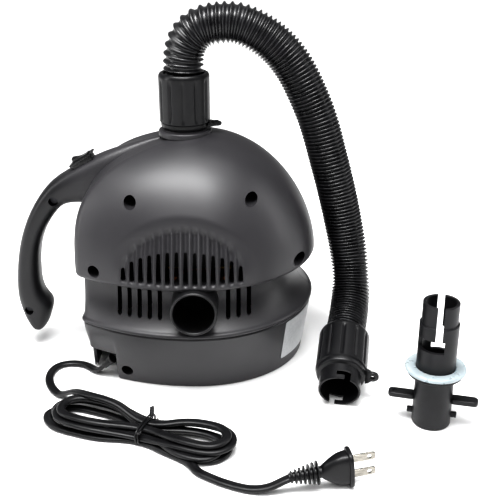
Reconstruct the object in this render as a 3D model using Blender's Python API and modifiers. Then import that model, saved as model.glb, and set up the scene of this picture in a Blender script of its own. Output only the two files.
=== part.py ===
"""Electric pump for air mattresses, with its stretch hose, valve adapter and mains lead.

Metres, +Z up. The origin is the middle of the flat base, on the floor. The housing is two
halves that meet at the plane y = 0, and -Y is the front, with the grille and the port.
"""

import math

import bmesh
import bpy
import numpy as np
from mathutils import Matrix, Vector

# Clearances and walls
GAP = 0.0003
WALL = 0.0026
RUNNING_GAP = 0.0006

# Housing, seen from above at the lip of its base
LIP_R = 0.100
FLAT_X = 0.096
LEFT_ARC_R = LIP_R + 0.062
CORNER_R = 0.010

# Housing, seen from the front
LIP_Z = 0.056
WAIST_TOP_Z = 0.0945
RIM_Z = 0.0985
TOP_Z = 0.201
RIM_R = LIP_R + 0.002
DOME_LEFT = FLAT_X + 0.0025
DOME_DEPTH = LIP_R
BASE_DEPTH = LIP_R - 0.016
BASE_RIGHT = LIP_R - 0.008
BASE_LEFT = FLAT_X - 0.0035
WAIST_R = LIP_R - 0.0175

# Outlet on top, and the bayonet that the hose locks into
NECK_X = -0.0096
NECK_TOP_Z = TOP_Z + 0.002
NECK_R = 0.019
NECK_WALL = 0.0017
NECK_BORE_R = NECK_R - NECK_WALL
BAYONET_R = NECK_BORE_R - GAP
BAYONET_BORE_R = BAYONET_R - NECK_WALL
BAYONET_LENGTH = 0.0155
PIN_R = 0.0018
PIN_DOWN = 0.0095
TWIST_DEG = 22.0

# Hose and its two cuffs
HOSE_D = 0.0335
CUFF_WALL = 0.0045
CUFF_R = HOSE_D / 2 + CUFF_WALL
CUFF_LENGTH = 0.0460
CUFF_SOCKET = 0.036
EAR_R = 0.0048
EAR_HOLE_R = 0.0021
EAR_THICK = 0.003
EAR_LIFT = 0.0014

# Suction port on the front
PORT_X = 0.0005
PORT_Z = 0.079
PORT_R = NECK_BORE_R + 0.0014
PORT_FRONT_Y = -LIP_R - 0.006
PORT_BACK_Y = -WAIST_R + 0.0205

# Grille: tall slots under an arch on the dome, short ones in the waist
SLOT_WIDTH = 0.0040
GRILLE_PITCH = 0.0072
GRILLE_FIRST_X = -0.0559
GRILLE_COUNT = 14
GRILLE_MID_X = -0.008
GRILLE_HALF = 0.053
GRILLE_FOOT_Z = 0.1005
GRILLE_RISE = 0.0445
WAIST_SLOT_PITCH = 0.00845
WAIST_SLOT_STARTS = ((-0.0620, 5), (0.0272, 3))
WAIST_SLOT_Z = (0.066, 0.0915)

# Case screws: place seen from the front, and the depth of the floor of the well
WELL_R = 0.0050
BOSS_WALL = 0.0018
CASE_SCREWS = (
    (-0.050, TOP_Z - 0.041, 0.016),
    (0.046, TOP_Z - 0.041, 0.016),
    (-DOME_LEFT + 0.0175, RIM_Z + 0.006, 0.016),
    (RIM_R - 0.016, RIM_Z + 0.006, 0.016),
    (-BASE_LEFT + 0.0335, 0.0120, 0.016),
)
GRIP_SCREWS = ((-0.155, 0.036, 0.0065), (-0.124, 0.1405, 0.0065))
GRIP_WELL_R = 0.0040
SCREW_R = 0.0015
HEAD_R = 0.0032
HEAD_THICK = 0.0024
SCREW_REACH = 0.009

# Handle: a hook that grows out of the dome, outer edge first, then back up its inner edge.
# Its points, its screws and its switch are drawn for a dome this high and this wide.
DRAWN_TOP_Z = 0.201
DRAWN_LEFT = 0.0985
HANDLE_FOOT_Z = 0.0147
HANDLE_HALF = 0.014
HANDLE_OUTER = (
    (-0.040, 0.1958), (-0.060, 0.1905), (-0.088, 0.1800), (-0.105, 0.1700), (-0.126, 0.1560),
    (-0.141, 0.1380), (-0.153, 0.1150), (-0.161, 0.0880), (-0.164, 0.0690), (-0.165, 0.0470),
    (-0.162, 0.0340), (-0.157, 0.0190), (-0.1495, 0.0147), (-0.1426, 0.0180),
    (-0.138, 0.0270), (-0.1354, 0.0406),
)
HANDLE_INNER = (
    (-0.1400, 0.0470), (-0.1435, 0.0630), (-0.1440, 0.0790), (-0.1410, 0.0940),
    (-0.1340, 0.1150), (-0.1260, 0.1260), (-0.1180, 0.1340), (-0.1090, 0.1390),
    (-0.1000, 0.1370),
)
HANDLE_ROOT_Z = (0.137, TOP_Z - 0.0062)
GRIP_LIMIT_X = -0.104

# Rocker switch on the root of the handle
SWITCH_AT = (-0.0985, 0.1745)
SWITCH_TILT = math.radians(31.0)
SWITCH_LENGTH = 0.0190
SWITCH_WIDTH = 0.0130
SWITCH_DEPTH = 0.0100
BEZEL_EDGE = 0.0012
BEZEL_THICK = 0.0018
ROCKER_REST = math.radians(9.0)

# Base plate and the corner where the cord comes out
PLATE_R = BASE_DEPTH - 0.024
PLATE_THICK = 0.0022
PLATE_LIP = 0.004
PLATE_SCREW_RING_R = PLATE_R - 0.010
NOTCH_X = -BASE_LEFT + 0.0245
NOTCH_Y = -BASE_DEPTH + 0.034
NOTCH_Z = 0.027

# Motor and fan, all on one upright axis
SHAFT_R = 0.003
BEARING_R = 0.0095
BEARING_HEIGHT = 0.006
ROTOR_R = 0.0172
STACK_Z = (0.034, 0.064)
STATOR_X = 0.033
STATOR_Y = 0.028
STATOR_BORE_R = 0.0180
COIL_X = (0.0186, 0.0272)
COMMUTATOR_R = 0.0100
COMMUTATOR_Z = (0.0745, 0.0835)
BRACKET_R = 0.026
LOWER_BEARING_Z = 0.0165
UPPER_BEARING_Z = 0.0905
FAN_CASE_R = WAIST_R - 0.0145
FAN_R = FAN_CASE_R - 0.008
FAN_HUB_REACH = 0.018
FAN_Z = (0.1085, 0.1285)
FAN_BLADES = 8
FAN_CASE_Z = (0.1045, 0.1360)
FAN_EYE_R = 0.029

# Valve adapter, standing beside the pump
ADAPTER_AT = (0.188, -0.134)
ADAPTER_TURN = math.radians(-13.9)
ADAPTER_TUBE_R = 0.0150
ADAPTER_BORE_R = 0.0127
ADAPTER_FLANGE_R = 0.0215
ADAPTER_FLANGE_Z = (0.0440, 0.0467)
WASHER_R = 0.0235
WASHER_THICK = 0.0034
ADAPTER_NECK_Z = 0.088
PRONG_R = 0.01375
ADAPTER_TOP_Z = 0.105
PRONG_SLOT = 0.0050
WING_Z = 0.022
WING_THICK = 0.004
WING_SPAN = 0.0345
WING_WIDTH = 0.0095

# Mains lead: flat twin cord, a tied hank and a two-blade plug
CORD_T = 0.0036
RELIEF_R = 0.0042
RELIEF_LENGTH = 0.011
RELIEF_END = (NOTCH_X - 0.0115, NOTCH_Y - 0.0162, 0.0112)
HANK_FROM = (-0.113, -0.124)
HANK_TO = (0.037, -0.183)
HANK_WIDTH = 0.050
HANK_HEIGHT = 0.021
TIE_AT = 0.52
PLUG_AT = (0.1160, -0.2120, 0.0146)
PLUG_AZIMUTH = math.radians(10.8)
PLUG_PITCH = math.radians(4.0)
PLUG_FLANGE = (0.0030, 0.0190, 0.0285)
BLADE = (0.0179, 0.00150, 0.00635)
BLADE_PITCH = 0.0127

HOSE_ROUTE = (
    (-0.0096, 0.0, 0.2493), (-0.0094, 0.0, 0.2610), (-0.0060, 0.0, 0.2740),
    (0.0040, 0.0, 0.2845), (0.0180, 0.0, 0.2885), (0.0340, 0.0, 0.2885),
    (0.0510, 0.0, 0.2820), (0.0680, 0.0, 0.2695), (0.0820, 0.0, 0.2520),
    (0.0925, 0.0, 0.2320), (0.1010, 0.0, 0.2120), (0.1100, 0.0, 0.1830),
    (0.1190, 0.0, 0.1510), (0.1270, -0.0010, 0.1180), (0.1325, -0.0060, 0.0900),
    (0.1345, -0.0180, 0.0620), (0.1310, -0.0380, 0.0435), (0.1262, -0.0582, 0.0351),
)
FREE_CUFF_HEADING = (-0.0095, -0.0585)
FREE_CUFF_FLOOR_Z = 0.0004
LEAD_ROUTE = (
    (-0.0795, -0.0662, 0.0112), (-0.0838, -0.0646, 0.0066), (-0.0885, -0.0612, 0.0032),
    (-0.0935, -0.0562, 0.0021), (-0.0990, -0.0518, 0.0021), (-0.1070, -0.0489, 0.0021),
    (-0.1160, -0.0492, 0.0021), (-0.1235, -0.0540, 0.0021), (-0.1270, -0.0640, 0.0021),
    (-0.1262, -0.0760, 0.0021), (-0.1215, -0.0880, 0.0021), (-0.1140, -0.0980, 0.0021),
)
TAIL_ROUTE = (
    (0.0066, -0.2003, 0.0021), (0.0140, -0.2065, 0.0021), (0.0240, -0.2127, 0.0021),
    (0.0350, -0.2180, 0.0022), (0.0470, -0.2220, 0.0030), (0.0600, -0.2225, 0.0058),
    (0.0713, -0.2204, 0.0104),
)


def clear_scene():
    """Removes whatever the scene starts with."""
    for obj in list(bpy.data.objects):
        bpy.data.objects.remove(obj, do_unlink=True)


def collection(name, hidden=False):
    """A new collection under the scene."""
    group = bpy.data.collections.new(name)
    group.hide_render = hidden
    bpy.context.scene.collection.children.link(group)
    return group


def finish_material(name, color, roughness, metallic=0.0):
    """A Principled material, made once for each name."""
    material = bpy.data.materials.get(name)
    if material is None:
        material = bpy.data.materials.new(name)
        material.use_nodes = True
        shader = material.node_tree.nodes["Principled BSDF"]
        shader.inputs["Base Color"].default_value = (*color, 1.0)
        shader.inputs["Roughness"].default_value = roughness
        shader.inputs["Metallic"].default_value = metallic
    return material


clear_scene()
PUMP = collection("air_mattress_pump")
TOOLS = collection("cutters", hidden=True)
CHARCOAL = finish_material("charcoal_abs", (0.060, 0.060, 0.064), 0.42)
BLACK = finish_material("black_abs", (0.020, 0.020, 0.022), 0.38)
GLOSSY = finish_material("hose_pvc", (0.012, 0.012, 0.013), 0.25)
CORD_PVC = finish_material("cord_pvc", (0.014, 0.014, 0.015), 0.40)
NICKEL = finish_material("nickel", (0.72, 0.70, 0.66), 0.25, 1.0)
STEEL = finish_material("steel", (0.55, 0.55, 0.56), 0.35, 1.0)
LAMINATION = finish_material("lamination", (0.30, 0.30, 0.32), 0.50, 1.0)
COPPER = finish_material("copper", (0.62, 0.30, 0.16), 0.35, 1.0)
BRASS = finish_material("brass", (0.75, 0.58, 0.30), 0.35, 1.0)
CARBON = finish_material("carbon", (0.03, 0.03, 0.03), 0.70)
PAPER = finish_material("label_paper", (0.70, 0.70, 0.69), 0.55)
WASHER = finish_material("washer_pvc", (0.80, 0.84, 0.86), 0.35)


def add(name, mesh, material=None, tool=False):
    """A named object with this mesh, among the parts or among the cutters."""
    obj = bpy.data.objects.new(name, mesh)
    if tool:
        TOOLS.objects.link(obj)
        obj.hide_render = True
        obj.display_type = "WIRE"
    else:
        PUMP.objects.link(obj)
    if material is not None:
        mesh.materials.clear()
        mesh.materials.append(material)
    return obj


def bake(obj):
    """Applies an object's modifiers and its transform to its mesh."""
    bpy.context.view_layer.update()
    graph = bpy.context.evaluated_depsgraph_get()
    mesh = bpy.data.meshes.new_from_object(obj.evaluated_get(graph))
    mesh.transform(obj.matrix_world)
    obj.modifiers.clear()
    obj.matrix_world = Matrix.Identity(4)
    obj.data = mesh
    return obj


def clear_slivers(obj):
    """Splits a cut piece's faces into triangles, and closes the ones that have no area."""
    bm = bmesh.new()
    bm.from_mesh(obj.data)
    bmesh.ops.remove_doubles(bm, verts=bm.verts, dist=0.00001)
    bmesh.ops.triangulate(bm, faces=bm.faces, ngon_method="BEAUTY")
    bmesh.ops.dissolve_degenerate(bm, edges=bm.edges, dist=0.00001)
    bm.to_mesh(obj.data)
    bm.free()
    return obj


def boolean(obj, other, operation="DIFFERENCE"):
    """Adds an exact Boolean with another object."""
    modifier = obj.modifiers.new(other.name, "BOOLEAN")
    modifier.operation = operation
    modifier.solver = "EXACT"
    modifier.object = other


def cut(obj, *others):
    """Takes each of these cutters away from an object."""
    for other in others:
        boolean(obj, other)


def join(obj, *others):
    """Unites an object with helpers."""
    for other in others:
        boolean(obj, other, "UNION")


def smooth(obj, angle=35.0):
    """Shades a round piece smooth, with its real edges kept sharp."""
    obj.data.shade_smooth()
    obj.data.set_sharp_from_angle(angle=math.radians(angle))


def block(name, size, at, material=None, tool=False, turn=None):
    """A box by its size and its middle."""
    bm = bmesh.new()
    bmesh.ops.create_cube(bm, size=1.0, matrix=Matrix.Diagonal((*size, 1.0)))
    mesh = bpy.data.meshes.new(name)
    bm.to_mesh(mesh)
    bm.free()
    obj = add(name, mesh, material, tool)
    place = Matrix.Translation(at)
    obj.matrix_world = place if turn is None else place @ turn
    return obj


def rod(name, radius, start, end, material=None, tool=False, sides=16):
    """A cylinder between two points."""
    start, end = Vector(start), Vector(end)
    along = end - start
    bm = bmesh.new()
    bmesh.ops.create_cone(
        bm, cap_ends=True, segments=sides, radius1=radius, radius2=radius, depth=along.length
    )
    mesh = bpy.data.meshes.new(name)
    bm.to_mesh(mesh)
    bm.free()
    obj = add(name, mesh, material, tool)
    turn = along.to_track_quat("Z", "Y").to_matrix().to_4x4()
    obj.matrix_world = Matrix.Translation((start + end) / 2) @ turn
    return obj


def turned(name, profile, material=None, steps=32, place=None, tool=False):
    """A solid of revolution about local Z. The profile's (r, z) points run down its outer side."""
    closed = all(r > 0 for r, _ in profile)
    count = len(profile)
    edges = [(i, (i + 1) % count) for i in range(count if closed else count - 1)]
    mesh = bpy.data.meshes.new(name)
    mesh.from_pydata([(r, 0.0, z) for r, z in profile], edges, [])
    obj = add(name, mesh, None, tool)
    screw = obj.modifiers.new("turn", "SCREW")
    screw.axis = "Z"
    screw.steps = steps
    screw.render_steps = steps
    screw.use_merge_vertices = True
    screw.merge_threshold = 0.00001
    bake(obj)
    if place is not None:
        obj.data.transform(place)
    if material is not None:
        obj.data.materials.append(material)
    smooth(obj)
    return obj


def tube(name, outer, inner, low, high, material=None, steps=32, at=(0.0, 0.0)):
    """An upright tube between two heights."""
    place = Matrix.Translation((at[0], at[1], 0.0))
    profile = ((outer, high), (outer, low), (inner, low), (inner, high))
    return turned(name, profile, material, steps, place)


def sheet_outline(name, points, thickness, place, material=None, tool=False, holes=()):
    """A flat outline in local XY with thickness along local Z, as one welded solid."""
    curve = bpy.data.curves.new(name, "CURVE")
    curve.dimensions = "2D"
    curve.fill_mode = "BOTH"
    curve.extrude = thickness / 2
    for loop in (points, *holes):
        spline = curve.splines.new("POLY")
        spline.points.add(len(loop) - 1)
        for point, (x, y) in zip(spline.points, loop):
            point.co = (x, y, 0.0, 1.0)
        spline.use_cyclic_u = True
    helper = bpy.data.objects.new(name, curve)
    bpy.context.scene.collection.objects.link(helper)
    bpy.context.view_layer.update()
    graph = bpy.context.evaluated_depsgraph_get()
    mesh = bpy.data.meshes.new_from_object(helper.evaluated_get(graph))
    bpy.data.objects.remove(helper)
    bm = bmesh.new()
    bm.from_mesh(mesh)
    bmesh.ops.remove_doubles(bm, verts=bm.verts, dist=0.00001)
    bmesh.ops.recalc_face_normals(bm, faces=bm.faces)
    bm.to_mesh(mesh)
    bm.free()
    mesh.transform(place)
    return add(name, mesh, material, tool)


def circle(radius, count, at=(0.0, 0.0)):
    """Points of a circle, anticlockwise."""
    turn = np.linspace(0.0, 2 * math.pi, count, endpoint=False)
    return [(at[0] + radius * math.cos(a), at[1] + radius * math.sin(a)) for a in turn]


def smooth_route(points, spacing):
    """Even steps along the natural cubic spline through some points."""
    points = np.array(points, float)
    knots = np.concatenate([[0], np.cumsum(np.linalg.norm(np.diff(points, axis=0), axis=1))])
    span = np.diff(knots)
    count = len(points)
    system = np.eye(count)
    right = np.zeros((count, points.shape[1]))
    for i in range(1, count - 1):
        system[i, i - 1 : i + 2] = (span[i - 1], 2 * (span[i - 1] + span[i]), span[i])
        rise = np.diff(points[i - 1 : i + 2], axis=0) / span[i - 1 : i + 1, None]
        right[i] = 6 * (rise[1] - rise[0])
    bend = np.linalg.solve(system, right)
    fine = np.linspace(0, knots[-1], 40 * count)
    k = np.clip(np.searchsorted(knots, fine, side="right") - 1, 0, count - 2)
    h = span[k][:, None]
    after = (fine - knots[k])[:, None]
    before = h - after
    curve = (
        (bend[k] * before**3 + bend[k + 1] * after**3) / (6 * h)
        + (points[k] / h - bend[k] * h / 6) * before
        + (points[k + 1] / h - bend[k + 1] * h / 6) * after
    )
    travel = np.concatenate([[0], np.cumsum(np.linalg.norm(np.diff(curve, axis=0), axis=1))])
    steps = max(2, round(travel[-1] / spacing)) + 1
    even = np.linspace(0, travel[-1], steps)
    return np.stack([np.interp(even, travel, curve[:, axis]) for axis in range(3)], axis=1)


def cable(name, points, diameter, spacing, resolution, material):
    """A round cable or hose along a smooth route."""
    curve = bpy.data.curves.new(name, "CURVE")
    curve.dimensions = "3D"
    curve.bevel_depth = diameter / 2
    curve.bevel_resolution = resolution
    curve.use_fill_caps = True
    route = smooth_route(points, spacing)
    spline = curve.splines.new("POLY")
    spline.points.add(len(route) - 1)
    for point, place in zip(spline.points, route):
        point.co = (*place, 1.0)
    obj = bpy.data.objects.new(name, curve)
    curve.materials.append(material)
    PUMP.objects.link(obj)
    return obj


# ---- Housing -------------------------------------------------------------------------------


def half_plan():
    """Front half of the housing's outline at the lip, from the left seam to the right one."""
    arc_y = LEFT_ARC_R - LIP_R
    corner_x = -FLAT_X + CORNER_R
    fall = math.sqrt((LEFT_ARC_R - CORNER_R) ** 2 - corner_x**2)
    lean = math.atan2(fall, -corner_x)
    corner = math.pi + np.linspace(0, lean, 4)
    bow = np.linspace(math.pi + lean, 1.5 * math.pi, 6)[1:]
    right = np.linspace(1.5 * math.pi, 2 * math.pi, 11)[1:]
    corner_y = arc_y - fall
    x = np.concatenate([
        [-FLAT_X, -FLAT_X],
        corner_x + CORNER_R * np.cos(corner),
        LEFT_ARC_R * np.cos(bow),
        LIP_R * np.cos(right),
    ])
    y = np.concatenate([
        [0.0, corner_y / 2],
        corner_y + CORNER_R * np.sin(corner),
        arc_y + LEFT_ARC_R * np.sin(bow),
        LIP_R * np.sin(right),
    ])
    y[-1] = 0.0
    return x, y


def ring(z, right, left, depth):
    """The whole outline at one height, with its own reach to the right, left and front."""
    x, y = half_plan()
    x = np.where(x > 0, x * right / LIP_R, x * left / FLAT_X)
    y = y * depth / LIP_R
    front = [(a, b, z) for a, b in zip(x, y)]
    back = [(a, -b, z) for a, b in zip(x[-2:0:-1], y[-2:0:-1])]
    return front + back


def dome_share(height):
    """How much of the rim's reach is left at a share of the dome's height: side and flat end."""
    return (1 - height**1.7) ** (1 / 2.1), (1 - height**4.0) ** (1 / 1.3)


def housing_rings(inset=0.0):
    """Outlines of the outside, or of a surface a little inside it, from the floor to the top."""
    waist_left = BASE_LEFT + 0.0019
    rows = [
        (0.0, BASE_RIGHT, BASE_LEFT, BASE_DEPTH),
        (LIP_Z - 0.004, LIP_R - 0.0005, FLAT_X - 0.001, LIP_R - 0.0005),
        (LIP_Z, LIP_R + 0.001, FLAT_X, LIP_R + 0.001),
        (LIP_Z + 0.004, LIP_R - 0.003, FLAT_X - 0.001, LIP_R - 0.003),
        (LIP_Z + 0.010, WAIST_R + 0.007, waist_left, WAIST_R + 0.007),
        (LIP_Z + 0.018, WAIST_R + 0.002, waist_left, WAIST_R + 0.002),
        (LIP_Z + 0.028, WAIST_R, waist_left, WAIST_R - 0.0005),
        (WAIST_TOP_Z, WAIST_R, waist_left, WAIST_R - 0.0005),
        (WAIST_TOP_Z + 0.0005, RIM_R - 0.005, FLAT_X - 0.0002, DOME_DEPTH - 0.005),
        (RIM_Z, RIM_R - 0.0002, DOME_LEFT - 0.0002, DOME_DEPTH - 0.0002),
    ]
    for step in (0.07, 0.17, 0.29, 0.41, 0.52, 0.63, 0.73, 0.82, 0.90, 0.96, 0.992):
        side, flat_end = dome_share(step)
        z = RIM_Z + step * (TOP_Z - RIM_Z)
        rows.append((z, RIM_R * side, DOME_LEFT * flat_end, DOME_DEPTH * side))
    shift = [inset if i == 0 else -inset if i == len(rows) - 1 else 0 for i in range(len(rows))]
    return [
        ring(z + dz, right - inset, left - inset, depth - inset)
        for (z, right, left, depth), dz in zip(rows, shift)
    ]


def loft(name, rings, tool=True):
    """A closed solid through rings of points, with flat ends."""
    bm = bmesh.new()
    loops = [[bm.verts.new(point) for point in points] for points in rings]
    for low, high in zip(loops, loops[1:]):
        for i in range(len(low)):
            j = (i + 1) % len(low)
            bm.faces.new((low[i], low[j], high[j], high[i]))
    bm.faces.new(loops[0][::-1])
    bm.faces.new(loops[-1])
    mesh = bpy.data.meshes.new(name)
    bm.to_mesh(mesh)
    bm.free()
    return add(name, mesh, tool=tool)


def shape_union(name, shapes):
    """Several helpers as one solid."""
    first = shapes[0]
    join(first, *shapes[1:])
    bake(first)
    first.name = name
    return first


def on_handle(x, z):
    """A point drawn for the handle, moved with the dome's left end and stretched to its top."""
    share = (z - HANDLE_FOOT_Z) / (DRAWN_TOP_Z - HANDLE_FOOT_Z)
    return x - (DOME_LEFT - DRAWN_LEFT), z + share * (TOP_Z - DRAWN_TOP_Z)


def case_screw_places():
    """Every screw through the seam: x, z, depth of the floor of its well, radius of its well."""
    body = [(*place, WELL_R) for place in CASE_SCREWS]
    return body + [(*on_handle(x, z), floor, GRIP_WELL_R) for x, z, floor in GRIP_SCREWS]


def dome_left_edge(low, high, inset, count=8):
    """Points (x, z) along the dome's left edge in the seam plane, a little inside the outside."""
    z = np.linspace(low, high, count)
    x = -DOME_LEFT * dome_share((z - RIM_Z) / (TOP_Z - RIM_Z))[1]
    slope = np.stack([np.gradient(x), np.gradient(z)], axis=1)
    slope /= np.linalg.norm(slope, axis=1, keepdims=True)
    return [tuple(p) for p in np.stack([x + inset * slope[:, 1], z - inset * slope[:, 0]], axis=1)]


def handle_solid():
    """The hook of the handle, hollow inside its grip."""
    upright = Matrix.Rotation(math.pi / 2, 4, "X")
    root = dome_left_edge(*HANDLE_ROOT_Z, WALL / 2)
    drawn = [on_handle(x, z) for x, z in HANDLE_OUTER + HANDLE_INNER]
    outline = [*drawn, *root]
    handle = sheet_outline("handle_blank", outline, 2 * HANDLE_HALF, upright, tool=True)
    rounding = handle.modifiers.new("edges", "BEVEL")
    rounding.width = 0.004
    rounding.segments = 2
    rounding.limit_method = "ANGLE"
    rounding.angle_limit = math.radians(60)
    limit = on_handle(GRIP_LIMIT_X, 0.0)[0]
    grip = np.array([p for p in drawn if p[0] < limit])
    along = np.roll(grip, -1, axis=0) - np.roll(grip, 1, axis=0)
    inward = np.stack([-along[:, 1], along[:, 0]], axis=1)
    inward /= np.linalg.norm(inward, axis=1, keepdims=True)
    core_outline = grip + WALL * inward
    core_depth = 2 * (HANDLE_HALF - WALL)
    core = sheet_outline("grip_hollow", core_outline.tolist(), core_depth, upright, tool=True)
    cut(handle, core)
    return bake(handle)


def cord_pocket(inside):
    """Walls of the recess at the front left corner, where the cord comes out."""
    reach = 0.04
    size = (reach, reach, NOTCH_Z + WALL)
    middle = (NOTCH_X + WALL - reach / 2, NOTCH_Y + WALL - reach / 2, size[2] / 2)
    pocket = block("pocket_walls", size, middle, tool=True)
    boolean(pocket, inside, "INTERSECT")
    return bake(pocket)


def screw_bosses(inside):
    """Posts along Y that the case screws clamp together."""
    posts = [
        rod(f"post_{i}", WELL_R + BOSS_WALL, (x, -0.11, z), (x, 0.11, z), tool=True, sides=12)
        for i, (x, z, _) in enumerate(CASE_SCREWS)
    ]
    bosses = shape_union("bosses", posts)
    boolean(bosses, inside, "INTERSECT")
    bake(bosses)
    grips = [
        rod(
            f"grip_post_{i}",
            GRIP_WELL_R + BOSS_WALL,
            (x, -HANDLE_HALF + 0.001, z),
            (x, HANDLE_HALF - 0.001, z),
            tool=True,
            sides=12,
        )
        for i, (x, z, _, _) in enumerate(case_screw_places()[len(CASE_SCREWS) :])
    ]
    return bosses, grips


def screw_wells():
    """Cutters for each well, from the front, and for the hole that its screw goes through."""
    cutters = []
    for i, (x, z, floor, radius) in enumerate(case_screw_places()):
        cutters.append(
            rod(f"well_{i}", radius, (x, -0.13, z), (x, -floor, z), tool=True, sides=14)
        )
        cutters.append(
            rod(
                f"screw_hole_{i}",
                SCREW_R + GAP,
                (x, -floor - 0.001, z),
                (x, SCREW_REACH + 0.001, z),
                tool=True,
                sides=8,
            )
        )
    return cutters


def arch_top(x):
    """Height of the grille's arch above a place across the front."""
    away = (x - GRILLE_MID_X) / GRILLE_HALF
    return GRILLE_FOOT_Z + GRILLE_RISE * math.sqrt(max(0.0, 1 - away**2))


def grille_cutters():
    """Upright slots through the front of the dome and of the waist."""
    cutters = []
    for i in range(GRILLE_COUNT):
        x = GRILLE_FIRST_X + i * GRILLE_PITCH
        top = arch_top(x)
        size = (SLOT_WIDTH, 0.06, top - GRILLE_FOOT_Z)
        middle = (x, -DOME_DEPTH + 0.015, (top + GRILLE_FOOT_Z) / 2)
        cutters.append(block(f"grille_slot_{i}", size, middle, tool=True))
    low, high = WAIST_SLOT_Z
    for start, count in WAIST_SLOT_STARTS:
        for i in range(count):
            x = start + i * WAIST_SLOT_PITCH
            size = (SLOT_WIDTH, 0.04, high - low)
            middle = (x, -WAIST_R + 0.0085, (low + high) / 2)
            cutters.append(block(f"waist_slot_{len(cutters)}", size, middle, tool=True))
    return cutters


def switch_frame():
    """Local frame of the switch: X along the handle's ridge, Z out of it."""
    x, z = on_handle(*SWITCH_AT)
    return Matrix.Translation((x, 0.0, z)) @ Matrix.Rotation(-SWITCH_TILT, 4, "Y")


def housing_cutters():
    """Openings for the neck, the port, the base plate, the switch and the cord."""
    neck = rod(
        "neck_hole", NECK_R + GAP, (NECK_X, 0, TOP_Z - 0.03), (NECK_X, 0, TOP_Z + 0.01),
        tool=True, sides=32,
    )
    port = rod(
        "port_hole", PORT_R + GAP,
        (PORT_X, PORT_FRONT_Y - 0.014, PORT_Z), (PORT_X, PORT_BACK_Y - 0.008, PORT_Z),
        tool=True, sides=32,
    )
    plate_hole = rod(
        "plate_hole", PLATE_R - PLATE_LIP, (0, 0, -0.001), (0, 0, 0.004), tool=True, sides=40
    )
    plate_seat = rod(
        "plate_seat", PLATE_R + GAP, (0, 0, -0.001), (0, 0, 0.0012), tool=True, sides=40
    )
    switch_size = (
        SWITCH_LENGTH + 2 * GAP, SWITCH_WIDTH + 2 * GAP, 2 * (SWITCH_DEPTH + 0.004)
    )
    switch_hole = block("switch_hole", switch_size, (0, 0, 0), tool=True)
    switch_hole.matrix_world = switch_frame()
    reach = 0.05
    notch = block(
        "cord_notch",
        (reach, reach, NOTCH_Z + 0.002),
        (NOTCH_X - reach / 2, NOTCH_Y - reach / 2, NOTCH_Z / 2 - 0.001),
        tool=True,
    )
    return [neck, port, plate_hole, plate_seat, switch_hole, notch]


def housing():
    """Front and rear shells, cut from one hollow body along the seam plane."""
    inside = loft("inside", housing_rings(WALL / 2))
    body = loft("body", housing_rings())
    shell = body.modifiers.new("wall", "SOLIDIFY")
    shell.thickness = WALL
    shell.offset = -1.0
    shell.use_even_offset = True
    bake(body)
    pocket = cord_pocket(inside)
    bosses, grips = screw_bosses(inside)
    join(body, handle_solid(), pocket, bosses, *grips)
    cut(body, *housing_cutters())
    bake(body)
    for name, side in (("front_shell", -1.0), ("rear_shell", 1.0)):
        half = add(name, body.data.copy(), CHARCOAL)
        room = block(f"{name}_side", (0.5, 0.2, 0.5), (0, side * (0.1 + GAP / 2), 0.1), tool=True)
        boolean(half, room, "INTERSECT")
        cut(half, *screw_wells())
        if side < 0:
            cut(half, *grille_cutters())
        smooth(clear_slivers(bake(half)), 30.0)


def case_screws():
    """One screw at the floor of each well."""
    for i, (x, z, floor, _) in enumerate(case_screw_places(), start=1):
        reach = floor + SCREW_REACH
        profile = (
            (0.0, HEAD_THICK), (HEAD_R, HEAD_THICK), (HEAD_R, 0.0), (SCREW_R, 0.0),
            (SCREW_R, -reach), (0.0, -reach),
        )
        place = Matrix.Translation((x, -floor - GAP, z)) @ Matrix.Rotation(math.pi / 2, 4, "X")
        turned(f"case_screw_{i}", profile, STEEL, 8, place)


def base_plate():
    """Round cover under the motor, held by three screws from below."""
    plate_low = 0.0
    seat = 0.0012 - GAP
    inner = PLATE_R - PLATE_LIP - GAP
    profile = (
        (0.0, PLATE_THICK), (inner, PLATE_THICK), (inner, seat),
        (PLATE_R, seat), (PLATE_R, plate_low), (0.0, plate_low),
    )
    plate = turned("base_plate", profile, BLACK, 40)
    for i in range(3):
        turn = math.radians(90 + 120 * i)
        x = PLATE_SCREW_RING_R * math.cos(turn)
        y = PLATE_SCREW_RING_R * math.sin(turn)
        hole = rod(
            f"plate_screw_hole_{i}", SCREW_R + GAP, (x, y, -0.001), (x, y, 0.004),
            tool=True, sides=8,
        )
        sink = rod(
            f"plate_screw_sink_{i}", HEAD_R + GAP, (x, y, -0.001), (x, y, 0.0014),
            tool=True, sides=12,
        )
        cut(plate, hole, sink)
        screw = (
            (0.0, 0.0085), (SCREW_R, 0.0085), (SCREW_R, 0.0011), (HEAD_R, 0.0011),
            (HEAD_R, 0.0002), (0.0, 0.0002),
        )
        turned(f"plate_screw_{i + 1}", screw, STEEL, 8, Matrix.Translation((x, y, 0.0)))
    smooth(bake(plate))


def rating_label():
    """Blank sticker on the right of the base."""
    turn = np.radians(np.linspace(50.0, 80.0, 7))
    rings = []
    for z in (0.012, 0.0315, 0.051):
        rise = z / (LIP_Z - 0.004)
        right = BASE_RIGHT + (LIP_R - BASE_RIGHT) * rise + 2 * GAP
        depth = BASE_DEPTH + (LIP_R - BASE_DEPTH) * rise + 2 * GAP
        rings.append([(right * math.sin(a), -depth * math.cos(a), z) for a in turn])
    bm = bmesh.new()
    rows = [[bm.verts.new(point) for point in points] for points in rings]
    for low, high in zip(rows, rows[1:]):
        for i in range(len(low) - 1):
            bm.faces.new((low[i], low[i + 1], high[i + 1], high[i]))
    mesh = bpy.data.meshes.new("rating_label")
    bm.to_mesh(mesh)
    bm.free()
    label = add("rating_label", mesh, PAPER)
    film = label.modifiers.new("film", "SOLIDIFY")
    film.thickness = 0.0003
    film.offset = 1.0


# ---- Outlet, port and switch ---------------------------------------------------------------


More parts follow.
